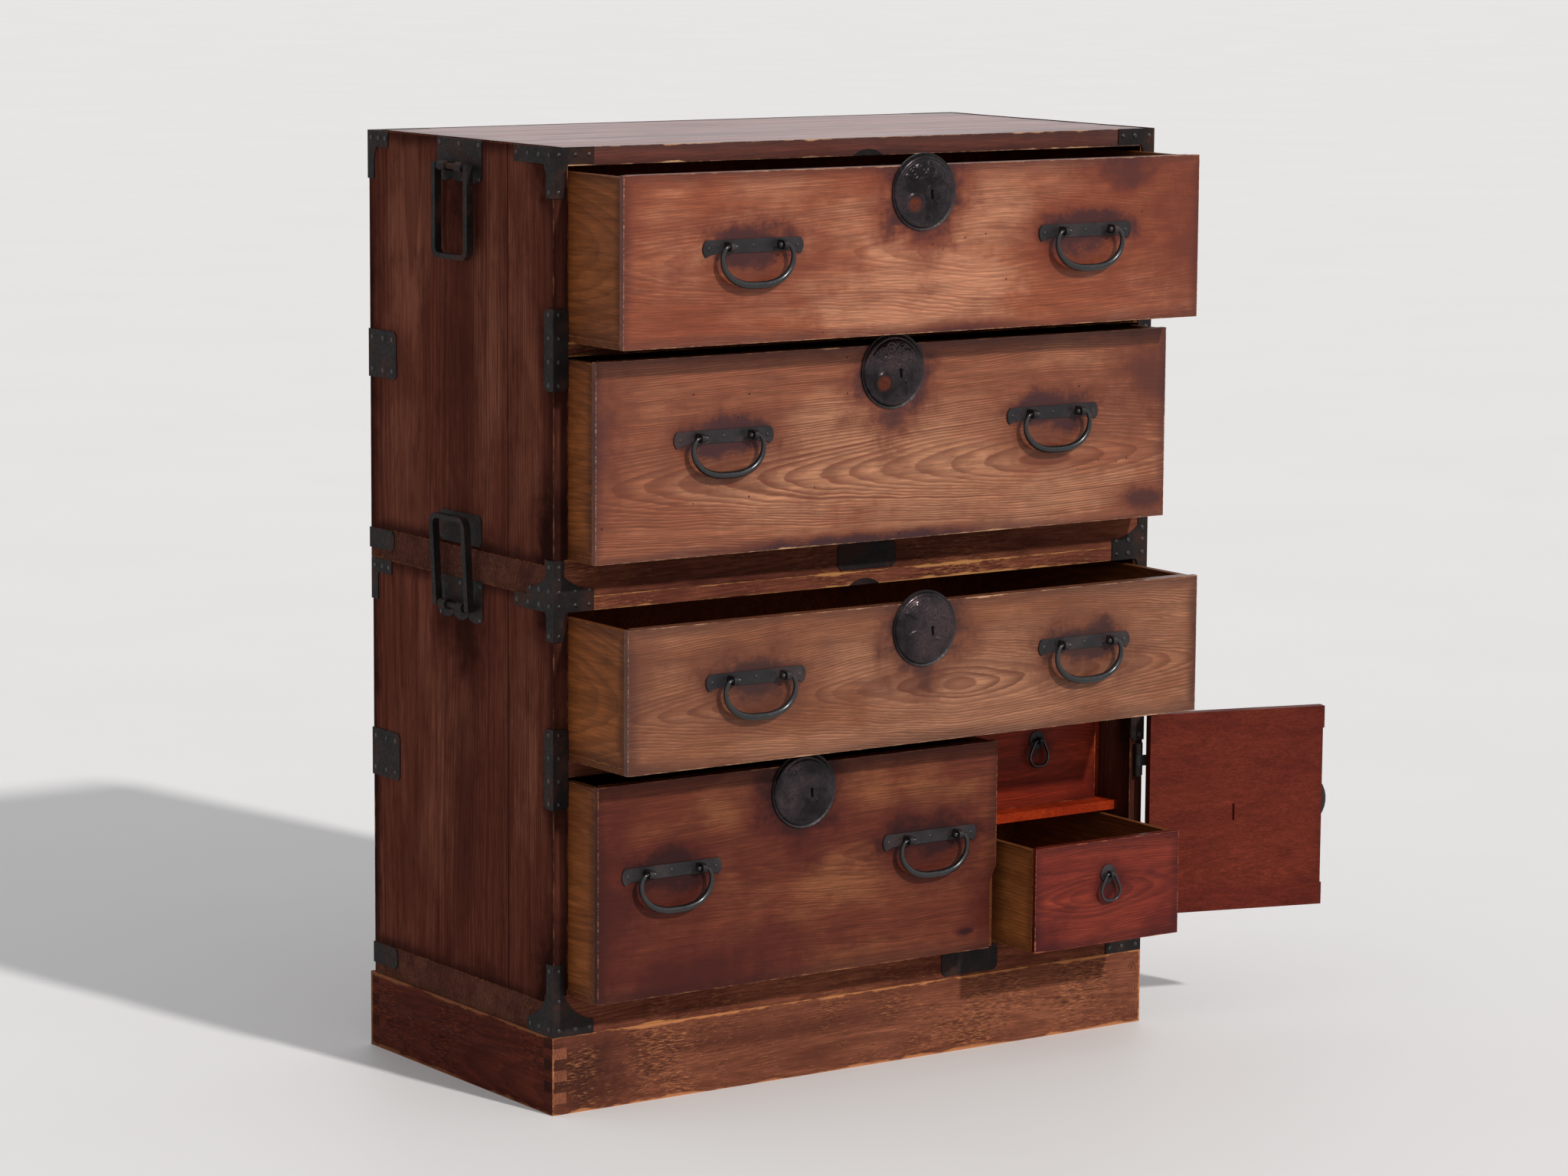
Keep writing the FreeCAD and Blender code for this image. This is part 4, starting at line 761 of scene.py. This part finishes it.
@dataclass
class ForgedBar:
    """A bent bar of changing thickness that stands for a CAD bail or ring.

    The course is the right half, from its end to the middle, and the left half mirrors it.
    """

    name: str
    node: str
    course: Sequence[tuple[float, float]]
    radii: Sequence[float]
    centre: Vector
    bead: float = 0.0
    sides: int = 20
    steps: int = 6

    def _smooth(self) -> list[tuple[Vector, float]]:
        """Rounds the course with a spline through its points.

        Returns:
            Places along the bar and its radius at each.
        """
        points = [Vector((x, 0, z)) for x, z in self.course]
        points += [Vector((-x, 0, z)) for x, z in reversed(self.course[:-1])]
        radii = list(self.radii) + list(reversed(self.radii[:-1]))
        out = []
        for index in range(len(points) - 1):
            before = points[max(index - 1, 0)]
            first, second = points[index], points[index + 1]
            after = points[min(index + 2, len(points) - 1)]
            for step in range(self.steps):
                t = step / self.steps
                place = 0.5 * (2 * first + (second - before) * t
                               + (2 * before - 5 * first + 4 * second - after) * t * t
                               + (3 * first - before - 3 * second + after) * t ** 3)
                out.append((place, radii[index] * (1 - t) + radii[index + 1] * t))
        out.append((points[-1], radii[-1]))
        return out

    def build(self, finish: Material) -> Object:
        """Builds the bar in place of its CAD node, on the body of the same name.

        Args:
            finish: Its finish.

        Returns:
            The piece.
        """
        mesh = bmesh.new()
        bar = self._smooth()
        rows = []
        for index, (place, radius) in enumerate(bar):
            heading = bar[min(index + 1, len(bar) - 1)][0] - bar[max(index - 1, 0)][0]
            heading.normalize()
            across = heading.cross(Vector((0, 1, 0)))
            middle = self.centre + place
            rows.append([middle + across * (radius * cosine) + Vector((0, radius * sine, 0))
                         for cosine, sine in corners(self.sides)])
        rings = tube(mesh, rows)
        mesh.faces.new(rings[0])
        mesh.faces.new(list(reversed(rings[-1])))
        if self.bead:
            for end in (bar[0][0], bar[-1][0]):
                outwards = Vector((math.copysign(self.bead * 0.35, end.x), 0, 0))
                bmesh.ops.create_uvsphere(mesh, u_segments=18, v_segments=12, radius=self.bead,
                                          matrix=Matrix.Translation(self.centre + end + outwards))
        piece = new_piece(self.name, mesh, self.node, finish)
        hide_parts(self.node)
        return piece


def ridge(distance: float, width: float) -> float:
    """Gives the height of a round ridge, 1 on its line, at a distance from that line."""
    return math.exp(-(distance / width) ** 2)


def step_up(value: float, width: float) -> float:
    """Rises smoothly from 0 to 1 over a width round zero."""
    share = min(1.0, max(0.0, value / width + 0.5))
    return share * share * (3 - 2 * share)


# The curls of the lock's ornament, each as its middle and its radius in shares of the plate's radius
SCROLLS = ((-0.42, 0.52, 0.15), (-0.14, 0.64, 0.17), (0.16, 0.52, 0.14), (0.4, 0.44, 0.12),
           (0.2, 0.78, 0.12), (-0.38, 0.76, 0.1))
CURLS = ((0.3, -0.62, 0.16), (0.02, -0.74, 0.12), (0.6, -0.08, 0.14))


@dataclass
class LockRelief:
    """The beaten ornament on a round lock plate: a cloud bank over an arch, a stud and its keyhole.

    The keyhole, the arch and the stud are places to the right of the plate's middle and above it.
    """

    name: str
    body: str
    centre: Vector
    relief: float = 1.0
    radius: float = 44.3 * MM
    rise: float = 6.6 * MM
    bulge: float = 0.6
    sheet: float = 1.4 * MM
    lift: float = 0.3 * MM
    worked: float = 1.5 * MM
    spokes: int = 168
    hoops: int = 54
    keyhole: tuple[float, float] = (8 * MM, 0.0)
    key_eye: float = 2.8 * MM
    key_half: float = 1.7 * MM
    key_drop: float = 9.2 * MM
    arch: tuple[float, float] = (-16.5 * MM, -14.5 * MM)
    stud: tuple[float, float] = (16.8 * MM, -13.5 * MM)

    def _dome(self, out: float) -> float:
        """Gives the height of the plate's dome over its foot, at a distance from the middle."""
        return self.sheet + self.rise * max(0.0, 1 - (out / self.radius) ** 2) ** self.bulge

    def _ornament(self, x: float, z: float) -> float:
        """Gives the relief over the dome.

        Args:
            x: The place to the right of the middle, as a share of the radius.
            z: The place above the middle, as a share of the radius.

        Returns:
            The height in metres.
        """
        out = math.hypot(x, z)
        inside = step_up(0.86 - out, 0.06)
        arch, hole, stud = (math.hypot(x - place[0] / self.radius, z - place[1] / self.radius)
                            for place in (self.arch, self.keyhole, self.stud))
        line = 0.3 + 0.05 * math.cos(11 * x + 0.8) - 0.12 * x
        bank = step_up(z - line, 0.07)
        cloud = 0.75 * bank + 0.35 * ridge(z - line - 0.03, 0.03)
        for middle_x, middle_z, size in SCROLLS:
            away = math.hypot(x - middle_x, z - middle_z)
            cloud += bank * (0.5 * ridge(away - size, 0.028) + 0.4 * ridge(away - size * 0.45, 0.03))
        height = 0.6 * step_up(out - 0.9, 0.04) + cloud * inside * self.relief
        if z > self.arch[1] / self.radius - 0.16:
            height += 0.9 * ridge(arch - 0.27, 0.03) * self.relief
        for middle_x, middle_z, size in CURLS:
            curl = math.hypot(x - middle_x, z - middle_z)
            height += 0.4 * ridge(curl - size, 0.03) * inside * self.relief
        height += 0.35 * ridge(hole - 0.16, 0.03) * self.relief
        height += 1.6 * math.sqrt(max(0.0, 1 - (stud / 0.055) ** 2))
        return height * self.worked

    def build(self, finish: Material) -> Object:
        """Beats the relief out as a thin skin over the plate, open at the keyhole.

        Args:
            finish: Its finish.

        Returns:
            The piece.
        """
        mesh = bmesh.new()
        rows = []
        for hoop in range(1, self.hoops + 1):
            out = self.radius * hoop / self.hoops
            edge = 1.0 - max(0.0, hoop / self.hoops - 0.97) / 0.03
            row = []
            for cosine, sine in corners(self.spokes):
                x, z = out * cosine, out * sine
                height = self.lift + self._ornament(x / self.radius, z / self.radius)
                row.append(self.centre + Vector((x, -self._dome(out) - height * edge, z)))
            rows.append(row)
        fan(mesh, tube(mesh, rows)[0], self.centre + Vector((0, -self._dome(0) - self.lift, 0)))
        gone = []
        for face in mesh.faces:
            place = face.calc_center_median() - self.centre
            x, z = place.x - self.keyhole[0], place.z - self.keyhole[1]
            if math.hypot(x, z) < self.key_eye or (abs(x) < self.key_half and -self.key_drop < z < 0):
                gone.append(face)
        bmesh.ops.delete(mesh, geom=gone, context="FACES")
        return new_piece(self.name, mesh, self.body, finish)


def direction(azimuth: float, elevation: float) -> Vector:
    """Gives the direction from the chest at an angle to the right of the front and above the floor."""
    a, e = math.radians(azimuth), math.radians(elevation)
    return Vector((math.sin(a) * math.cos(e), -math.cos(a) * math.cos(e), math.sin(e)))


@dataclass
class Studio:
    """A plain pale floor, soft light from the front and the camera."""

    eye: Vector = field(default_factory=lambda: Vector((-3.5277, -4.9391, 1.5098)))
    azimuth: float = -34.676
    elevation: float = 8.463
    roll: float = 0.382
    lens: float = 113.456
    sensor: float = 36.0
    farthest: float = 200.0
    sun_azimuth: float = 11.0
    sun_elevation: float = 32.5
    sun_strength: float = 2.45
    sun_width: float = 2.6
    sun_tone: tuple[float, float, float] = (1.0, 0.985, 0.955)
    sky: float = 0.5
    sky_tone: Tone = (0.97, 0.98, 1.0, 1.0)
    seen_sky: Tone = tone(240, 241, 243)
    floor_radius: float = 60.0

    def camera(self) -> None:
        """Sets up the camera at the viewing angle."""
        r = math.radians(self.roll)
        back = direction(self.azimuth, self.elevation)
        right = (-back).cross(Vector((0, 0, 1))).normalized()
        up = right.cross(-back)
        tilted_right = math.cos(r) * right + math.sin(r) * up
        tilted_up = -math.sin(r) * right + math.cos(r) * up
        turn = Matrix((tilted_right, tilted_up, back)).transposed()
        data = bpy.data.cameras.new("camera")
        data.lens = self.lens
        data.sensor_width = self.sensor
        data.clip_end = self.farthest
        camera = stand("camera", data)
        camera.matrix_world = Matrix.Translation(self.eye) @ turn.to_4x4()
        bpy.context.scene.camera = camera
        LOG.info("camera set")

    def light(self) -> None:
        """Sets up the soft key light and the even sky, which looks paler than the light it gives."""
        data = bpy.data.lights.new("key_light", "SUN")
        data.energy = self.sun_strength
        data.angle = math.radians(self.sun_width)
        data.color = self.sun_tone
        towards = direction(self.sun_azimuth, self.sun_elevation)
        stand("key_light", data).rotation_euler = towards.to_track_quat("Z", "Y").to_euler()
        world = bpy.data.worlds.new("sky")
        g = Graph(world)
        path = g.add("ShaderNodeLightPath", {}).outputs
        seen = g.math("MAXIMUM", path["Is Camera Ray"], path["Is Glossy Ray"])
        dim = g.add("ShaderNodeBackground", {0: self.sky_tone, 1: self.sky}).outputs[0]
        pale = g.add("ShaderNodeBackground", {0: self.seen_sky, 1: 1.0}).outputs[0]
        mixer = g.add("ShaderNodeMixShader", {0: seen, 1: dim, 2: pale})
        g.add("ShaderNodeOutputWorld", {0: mixer.outputs[0]})
        bpy.context.scene.world = world
        LOG.info("light set")

    def floor(self) -> None:
        """Lays the floor, a wide disc with a faint trowelled surface."""
        mesh = bmesh.new()
        bmesh.ops.create_circle(mesh, cap_ends=True, segments=96, radius=self.floor_radius)
        data = bpy.data.meshes.new("floor")
        mesh.to_mesh(data)
        mesh.free()
        g = Graph(bpy.data.materials.new("floor_plaster"))
        point = g.point(*g.read("Object"))
        slow = g.noise(point, 1.3, 4.0, 0.6)
        colour = g.mix(g.smooth(slow, 0.3, 0.7), tone(237, 235, 234), tone(239, 237, 236))
        height = g.times(g.noise(point, 30.0, 3.0), 0.05 * MM)
        data.materials.append(g.finish(colour, 0.55, height, Specular_IOR_Level=0.2))
        floor = stand("floor", data)
        LOG.info("floor laid")

    def build(self) -> None:
        """Sets up the whole studio."""
        bpy.context.scene.view_settings.view_transform = "Standard"
        self.camera()
        self.light()
        self.floor()


@dataclass
class Plinth:
    """The low box-jointed frame that the lower chest stands on."""

    long_heart: float = 0.02
    end_heart: float = 0.03

    def build(self) -> None:
        """Dresses the plinth's rails."""
        lay("plinth_long_rails", Finish.PLINTH, X, Z,
            smudges((-0.42, 0.05, 0.16, 0.08, 0.75), (-0.1, 0.06, 0.3, 0.02, 0.5),
                    (0.25, 0.05, 0.3, 0.04, -0.9)), heart_across=self.long_heart)
        lay("plinth_end_rails", Finish.PLINTH, Y, Z, heart_across=self.end_heart)


@dataclass
class Case:
    """One chest's fixed boards and ironwork.

    The drop and the rise are how far the side leaves of its top and bottom corner irons reach.
    """

    name: str
    top: Timber
    foot: float
    head: float
    depth: float
    rail_foot: float
    rail: float
    drop: float
    rise: float
    marks: tuple[Smudge, ...]
    front: float = -0.009
    half_width: float = 0.45
    seam: float = 0.094
    sheet: float = 1.5 * MM
    inset: float = 7 * MM
    handle_middle: float = 0.203
    handle_half: float = 0.046

    def boards(self) -> None:
        """Dresses every fixed board."""
        name = self.name
        middle = (self.foot + self.head) / 2
        marks = smudges(
            (middle, 0.2, 0.34, 0.06, 0.4), (self.head - 0.05, 0.2, 0.11, 0.08, 0.75),
            (middle + 0.05, 0.05, 0.2, 0.05, -0.7), (middle - 0.1, 0.3, 0.15, 0.06, -0.4),
            (self.foot + 0.01, 0.2, 0.07, 0.24, 0.7), (self.head, 0.0, 0.09, 0.06, 0.9),
            (self.foot + 0.05, 0.0, 0.13, 0.05, 0.9), (self.rail_foot, 0.0, 0.1, 0.03, 0.8),
            (middle, 0.43, 0.3, 0.035, 0.8)) + self.marks
        for side, hand in (("left", -1), ("right", 1)):
            lay(f"{name}_{side}_side", Finish.SIDE, Z, Y, marks, seam=self.seam,
                heart_across=0.32, heart_along=middle, heart_depth=0.05, taper=0.012,
                seed=hand + self.foot * 7)
        lay(f"{name}_top_board", self.top, X, Y,
            smudges((-0.2, 0.13, 0.3, 0.05, 0.55), (0.3, 0.02, 0.25, 0.04, 0.6),
                    (-0.44, 0.3, 0.06, 0.2, 0.5)), heart_across=0.15)
        for part, timber, across, heart in (
                ("back_board", Finish.INNER, Z, self.head - 0.2), ("base_rails", Finish.RAIL, Z, self.foot),
                ("bottom_board", Finish.INNER, Y, 0.0), ("shelf", Finish.RAIL, Y, 0.0)):
            lay(f"{name}_{part}", timber, X, across, heart_across=heart)
        wear(f"{name}_irons", Finish.CORNER.dress(f"{name}_irons_finish"))

    def nails(self) -> None:
        """Drives the nails of the corner irons, the edge irons and the carrying plates."""
        nails = NailHeads(f"{self.name}_nails", f"{self.name}_chest")
        face = self.front - self.sheet
        back = self.front + self.depth
        inset, high = self.inset, self.head - 9 * MM
        dropped, raised = self.head - self.drop + inset, self.foot + self.rise - 8 * MM
        low, side_low = self.foot + 8 * MM, self.foot + 9 * MM
        levels = [self.rail_foot + self.rail / 2 - 0.042 + z for z in (0.0, 0.028, 0.056, 0.084)]
        front_leaves = ((inset, high), (0.03, high), (0.049, high), (inset, dropped), (inset, low),
                        (0.03, low), (0.05, low), (inset, raised), (inset, self.foot + self.rise * 0.5))
        side_leaves = ((inset, high), (0.03, high), (0.055, high), (0.08, high), (inset, dropped),
                       (inset, raised), (0.008, side_low), (0.03, side_low), (0.05, side_low))
        back_leaves = [(y, z) for y in (0.008, 0.034, 0.056)
                       for z in (self.rail_foot - 0.01, self.rail_foot - 0.05)]
        back_leaves += [(y, high) for y in (0.008, 0.026, 0.042)]
        half = self.handle_half
        plates = [(y, self.head - 0.006) for y in (-half, 0.0, half)]
        plates += [(y, self.head - 0.047) for y in (-half, half)]
        for hand in (1, -1):
            side = -hand * (self.half_width + self.sheet)
            edge = -hand * self.half_width
            out = Vector((-hand, 0, 0))
            for x, z in front_leaves:
                nails.drive(edge + hand * x, face, z, FORWARDS)
            for y, z in side_leaves:
                nails.drive(side, self.front + y, z, out)
            for level in levels:
                nails.drive(edge + hand * inset, face, level, FORWARDS)
                nails.drive(side, self.front + 8 * MM, level, out)
            for y, z in back_leaves:
                nails.drive(side, back - y, z, out)
            for y, z in plates:
                nails.drive(side, self.handle_middle + y, z, out)
        nails.build(Finish.NAIL.dress(f"{self.name}_nail_finish"))

    def build(self) -> None:
        """Dresses the case and drives its nails."""
        self.boards()
        self.nails()


# The half bail's course beyond the eye, and the bar's thickness there, as shares
BAIL_SHARES = ((0.55, 0.05), (1.0, 0.27), (0.94, 0.57), (0.7, 0.84), (0.36, 0.975))
BAIL_SWELL = (0.03, 0.15, 0.45, 0.75, 0.95)
ARM_POINTS = 2
# The half ring's course from its top, as shares of its half width and its drop
RING_SHARES = ((0.0, 0.0), (0.3, 0.0), (0.46, 0.06), (0.7, 0.26), (0.96, 0.52), (0.96, 0.76),
               (0.6, 0.96), (0.0, 1.0))
# The fields of Board that say where a front lay in the tree
SAWN = ("heart_along", "heart_across", "taper", "heart_depth")


# Each large front's own marks, from the upper drawer down
FRONT_MARKS = (
    smudges((0.44, 1.05, 0.16, 0.16, 0.62), (0.31, 1.12, 0.12, 0.05, 0.75), (-0.44, 1.1, 0.05, 0.09, 0.5),
            (0.0, 1.15, 0.4, 0.02, 0.6), (0.05, 0.935, 0.12, 0.02, 0.75), (0.0, 0.98, 0.2, 0.06, -1.0),
            (0.1, 1.07, 0.09, 0.06, -0.8), (-0.05, 1.1, 0.12, 0.03, -0.5), (-0.33, 0.97, 0.1, 0.05, 0.3)),
    smudges((-0.44, 0.83, 0.09, 0.16, 0.68), (0.45, 0.86, 0.18, 0.12, 0.7), (0.0, 0.925, 0.45, 0.03, 0.62),
            (-0.05, 0.676, 0.25, 0.018, 0.95), (0.4, 0.7, 0.06, 0.03, 0.8), (0.0, 0.76, 0.36, 0.07, -0.9),
            (-0.1, 0.84, 0.1, 0.05, -0.5), (0.28, 0.72, 0.14, 0.05, -0.9)),
    smudges((0.44, 0.52, 0.03, 0.12, 0.7), (-0.43, 0.44, 0.08, 0.03, 0.55), (-0.42, 0.54, 0.07, 0.1, 0.48),
            (0.12, 0.5, 0.34, 0.09, -0.9), (-0.15, 0.45, 0.22, 0.03, -0.9)),
    smudges((-0.43, 0.26, 0.11, 0.18, 0.66), (-0.3, 0.16, 0.34, 0.07, 0.66), (0.15, 0.2, 0.05, 0.1, 0.6),
            (0.12, 0.172, 0.022, 0.008, 1.0), (-0.12, 0.37, 0.3, 0.05, -0.8),
            (-0.05, 0.27, 0.1, 0.05, -0.9)))


@dataclass
class LargeDrawer:
    """A wide drawer with a round lock plate and two bail handles.

    The face is where its front stands along Y, the head is its top and the handle is the bails' height.
    """

    number: int
    timber: Timber
    face: float
    head: float
    handle: float
    sawn: tuple[float, float, float, float]
    centre: float = 0.0
    spread: float = 0.248
    lock_drop: float = 0.032
    relief: float = 1.0
    inlaid: bool = False
    bail_width: float = 0.108
    bail_drop: float = 0.051
    thin: float = 2.5 * MM
    thick: float = 4.7 * MM
    pin_start: float = 30.775 * MM
    pin_stop: float = 41.625 * MM
    stand_off: float = 12 * MM
    bead: float = 3.4 * MM
    nail_spread: float = 0.063

    @property
    def name(self) -> str:
        """The drawer's body name."""
        return f"drawer_{self.number}"

    def handles(self) -> tuple[tuple[str, float], ...]:
        """Gives each handle's side and the place of its middle along X."""
        return (("left", self.centre - self.spread), ("right", self.centre + self.spread))

    def halos(self) -> tuple[Smudge, ...]:
        """The dark halos round the lock and the handles, with the drawer's own marks.

        Returns:
            The smudges.
        """
        lock = self.head - self.lock_drop
        rows = [(self.centre, lock - 0.004, 0.098, 0.088, 1.0), (self.centre, lock - 0.03, 0.05, 0.09, 0.8)]
        for _, middle in self.handles():
            rows += [(middle, self.handle, 0.112, 0.046, 1.0),
                     (middle, self.handle - 0.01, 0.15, 0.075, 0.62)]
        return smudges(*rows) + FRONT_MARKS[self.number - 1]

    def bails(self) -> None:
        """Forges the two bails."""
        finish = Finish.BAR.dress(f"{self.name}_bail_finish")
        half = self.bail_width / 2 - self.thick * 0.75
        low = self.bail_drop - self.thick
        course = [(self.pin_start, 0.0), (self.pin_stop - 2 * MM, 0.0), (self.pin_stop, -0.2 * MM)]
        radii = [self.thin] * len(course)
        for index, ((out, down), swell) in enumerate(zip(BAIL_SHARES, BAIL_SWELL)):
            x = self.pin_stop + (half - self.pin_stop) * out if index < ARM_POINTS else half * out
            course.append((x, -low * down))
            radii.append(self.thin + (self.thick - self.thin) * swell)
        course.append((0.0, -low))
        radii.append(self.thick)
        for side, middle in self.handles():
            centre = Vector((middle, self.face - self.stand_off, self.handle))
            ForgedBar(f"{self.name}_forged_bail_{side}", f"{self.name}_bail_{side}", course, radii,
                      centre, self.bead).build(finish)

    def ironwork(self) -> None:
        """Dresses the plates, beats the lock's relief and drives the handle plates' nails."""
        wear(f"{self.name}_irons", Finish.PLATE.dress(f"{self.name}_plate_finish"))
        lock = Vector((self.centre, self.face, self.head - self.lock_drop))
        relief = LockRelief(f"{self.name}_lock_relief", self.name, lock, self.relief)
        inlay = lock + Vector((relief.arch[0], 0, relief.arch[1])) if self.inlaid else None
        relief.build(Finish.LOCK.dress(f"{self.name}_lock_finish", inlay))
        nails = NailHeads(f"{self.name}_nails", self.name, radius=2.6 * MM, rise=MM)
        for _, middle in self.handles():
            for x in (-self.nail_spread, 0.0, self.nail_spread):
                level = self.handle - (2 * MM if x else 0)
                nails.drive(middle + x, self.face - 2 * MM, level, FORWARDS)
        nails.build(Finish.NAIL.dress(f"{self.name}_nail_finish"))

    def build(self) -> None:
        """Dresses the drawer and builds its ironwork."""
        lay(f"{self.name}_front", self.timber, X, Z, self.halos(), **dict(zip(SAWN, self.sawn)))
        lay(f"{self.name}_walls", Finish.DRAWER_BOX, Y, Z, heart_across=self.head - 0.09,
            heart_depth=0.02, taper=0.06)
        lay(f"{self.name}_bottom", Finish.DRAWER_BOX, X, Y)
        self.ironwork()
        self.bails()


@dataclass
class SmallDrawer:
    """A small drawer of the compartment with a ring pull."""

    name: str
    timber: Timber
    ring: Vector
    ring_half: float = 16.5 * MM
    ring_drop: float = 37 * MM
    ring_bar: float = 1.9 * MM

    def build(self) -> None:
        """Dresses the drawer and forges its ring."""
        low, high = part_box(f"{self.name}_front")
        marks = smudges((self.ring.x, self.ring.z - 0.01, 0.035, 0.035, 0.8),
                        (low.x, low.z, 0.08, 0.05, 0.6), (high.x, low.z, 0.08, 0.06, 0.5))
        lay(f"{self.name}_front", self.timber, X, Z, marks,
            heart_along=low.x + 0.09, heart_across=(low.z + high.z) / 2, heart_depth=0.03, taper=0.08)
        lay(f"{self.name}_box", Finish.SMALL_BOX, Y, Z)
        wear(f"{self.name}_pull", Finish.PLATE.dress(f"{self.name}_pull_finish"))
        half, drop = self.ring_half - self.ring_bar, self.ring_drop - 2 * self.ring_bar
        course = [(half * x, -drop * z) for x, z in RING_SHARES]
        ForgedBar(f"{self.name}_forged_ring", f"{self.name}_ring", course, [self.ring_bar] * len(course),
                  self.ring, sides=14).build(Finish.BAR.dress(f"{self.name}_ring_finish"))


@dataclass
class Compartment:
    """The compartment's partition, lining and door, with the door's lock plate and hinges."""

    door_heart: float = 0.2

    def inside(self) -> None:
        """Dresses the partition and the lining."""
        lay("lower_partition", Finish.DIVIDER, Y, Z)
        lay("compartment_lining", Finish.COMPARTMENT, Y, Z)

    def door(self) -> None:
        """Dresses the door."""
        lay("door_panel", Finish.DOOR, X, Z, heart_across=self.door_heart)
        lay("door_end_boards", Finish.DOOR, X, Z)
        wear("door_irons", Finish.PLATE.dress("door_iron_finish"))


@dataclass
class CarryingHandles:
    """The four carrying loops on the chests' sides."""

    names: tuple[str, ...] = ("upper_left", "upper_right", "lower_left", "lower_right")

    def build(self) -> None:
        """Dresses the loops."""
        finish = Finish.CORNER.dress("carrying_iron")
        for name in self.names:
            wear(f"carry_{name}", finish)


def main() -> None:
    """Builds the studio and the chest, from the floor up."""
    logging.basicConfig(level=logging.INFO, format="%(message)s")
    Studio().build()
    Plinth().build()
    Case("lower", Finish.LEDGE, foot=0.096, head=0.63, depth=0.428, rail_foot=0.413, rail=0.021,
         drop=0.052, rise=0.089, marks=smudges((0.25, 0.33, 0.13, 0.06, 0.3))).build()
    Case("upper", Finish.TOP, foot=0.63, head=1.166, depth=0.432, rail_foot=0.9185, rail=0.017,
         drop=0.06, rise=0.046,
         marks=smudges((1.02, 0.33, 0.13, 0.06, -1.0), (0.92, 0.13, 0.17, 0.06, -1.0))).build()
    compartment = Compartment()
    compartment.inside()
    drawers = (
        LargeDrawer(1, Finish.UPPER_FRONT, face=-0.129, head=1.139, handle=1.052,
                    sawn=(0.1, 1.033, 0.05, 0.11), inlaid=True),
        LargeDrawer(2, Finish.WIDE_FRONT, face=-0.069, head=0.917, handle=0.82,
                    sawn=(0.237, 0.764, 0.052, 0.08), inlaid=True),
        LargeDrawer(3, Finish.PALE_FRONT, face=-0.14, head=0.608, handle=0.538,
                    sawn=(0.056, 0.503, 0.07, 0.035), relief=0.7),
        LargeDrawer(4, Finish.RED_FRONT, face=-0.075, head=0.4104, handle=0.3004,
                    sawn=(0.02, 0.29, 0.05, 0.0775), relief=0.25, centre=-0.13225, spread=0.192),
    )
    for drawer in drawers:
        drawer.build()
    SmallDrawer("small_lower", Finish.SMALL_FRONT, Vector((0.29725, -0.141, 0.236))).build()
    SmallDrawer("small_upper", Finish.SHELTERED_FRONT, Vector((0.31525, 0.034, 0.379))).build()
    compartment.door()
    CarryingHandles().build()


if __name__ == "__main__":
    main()
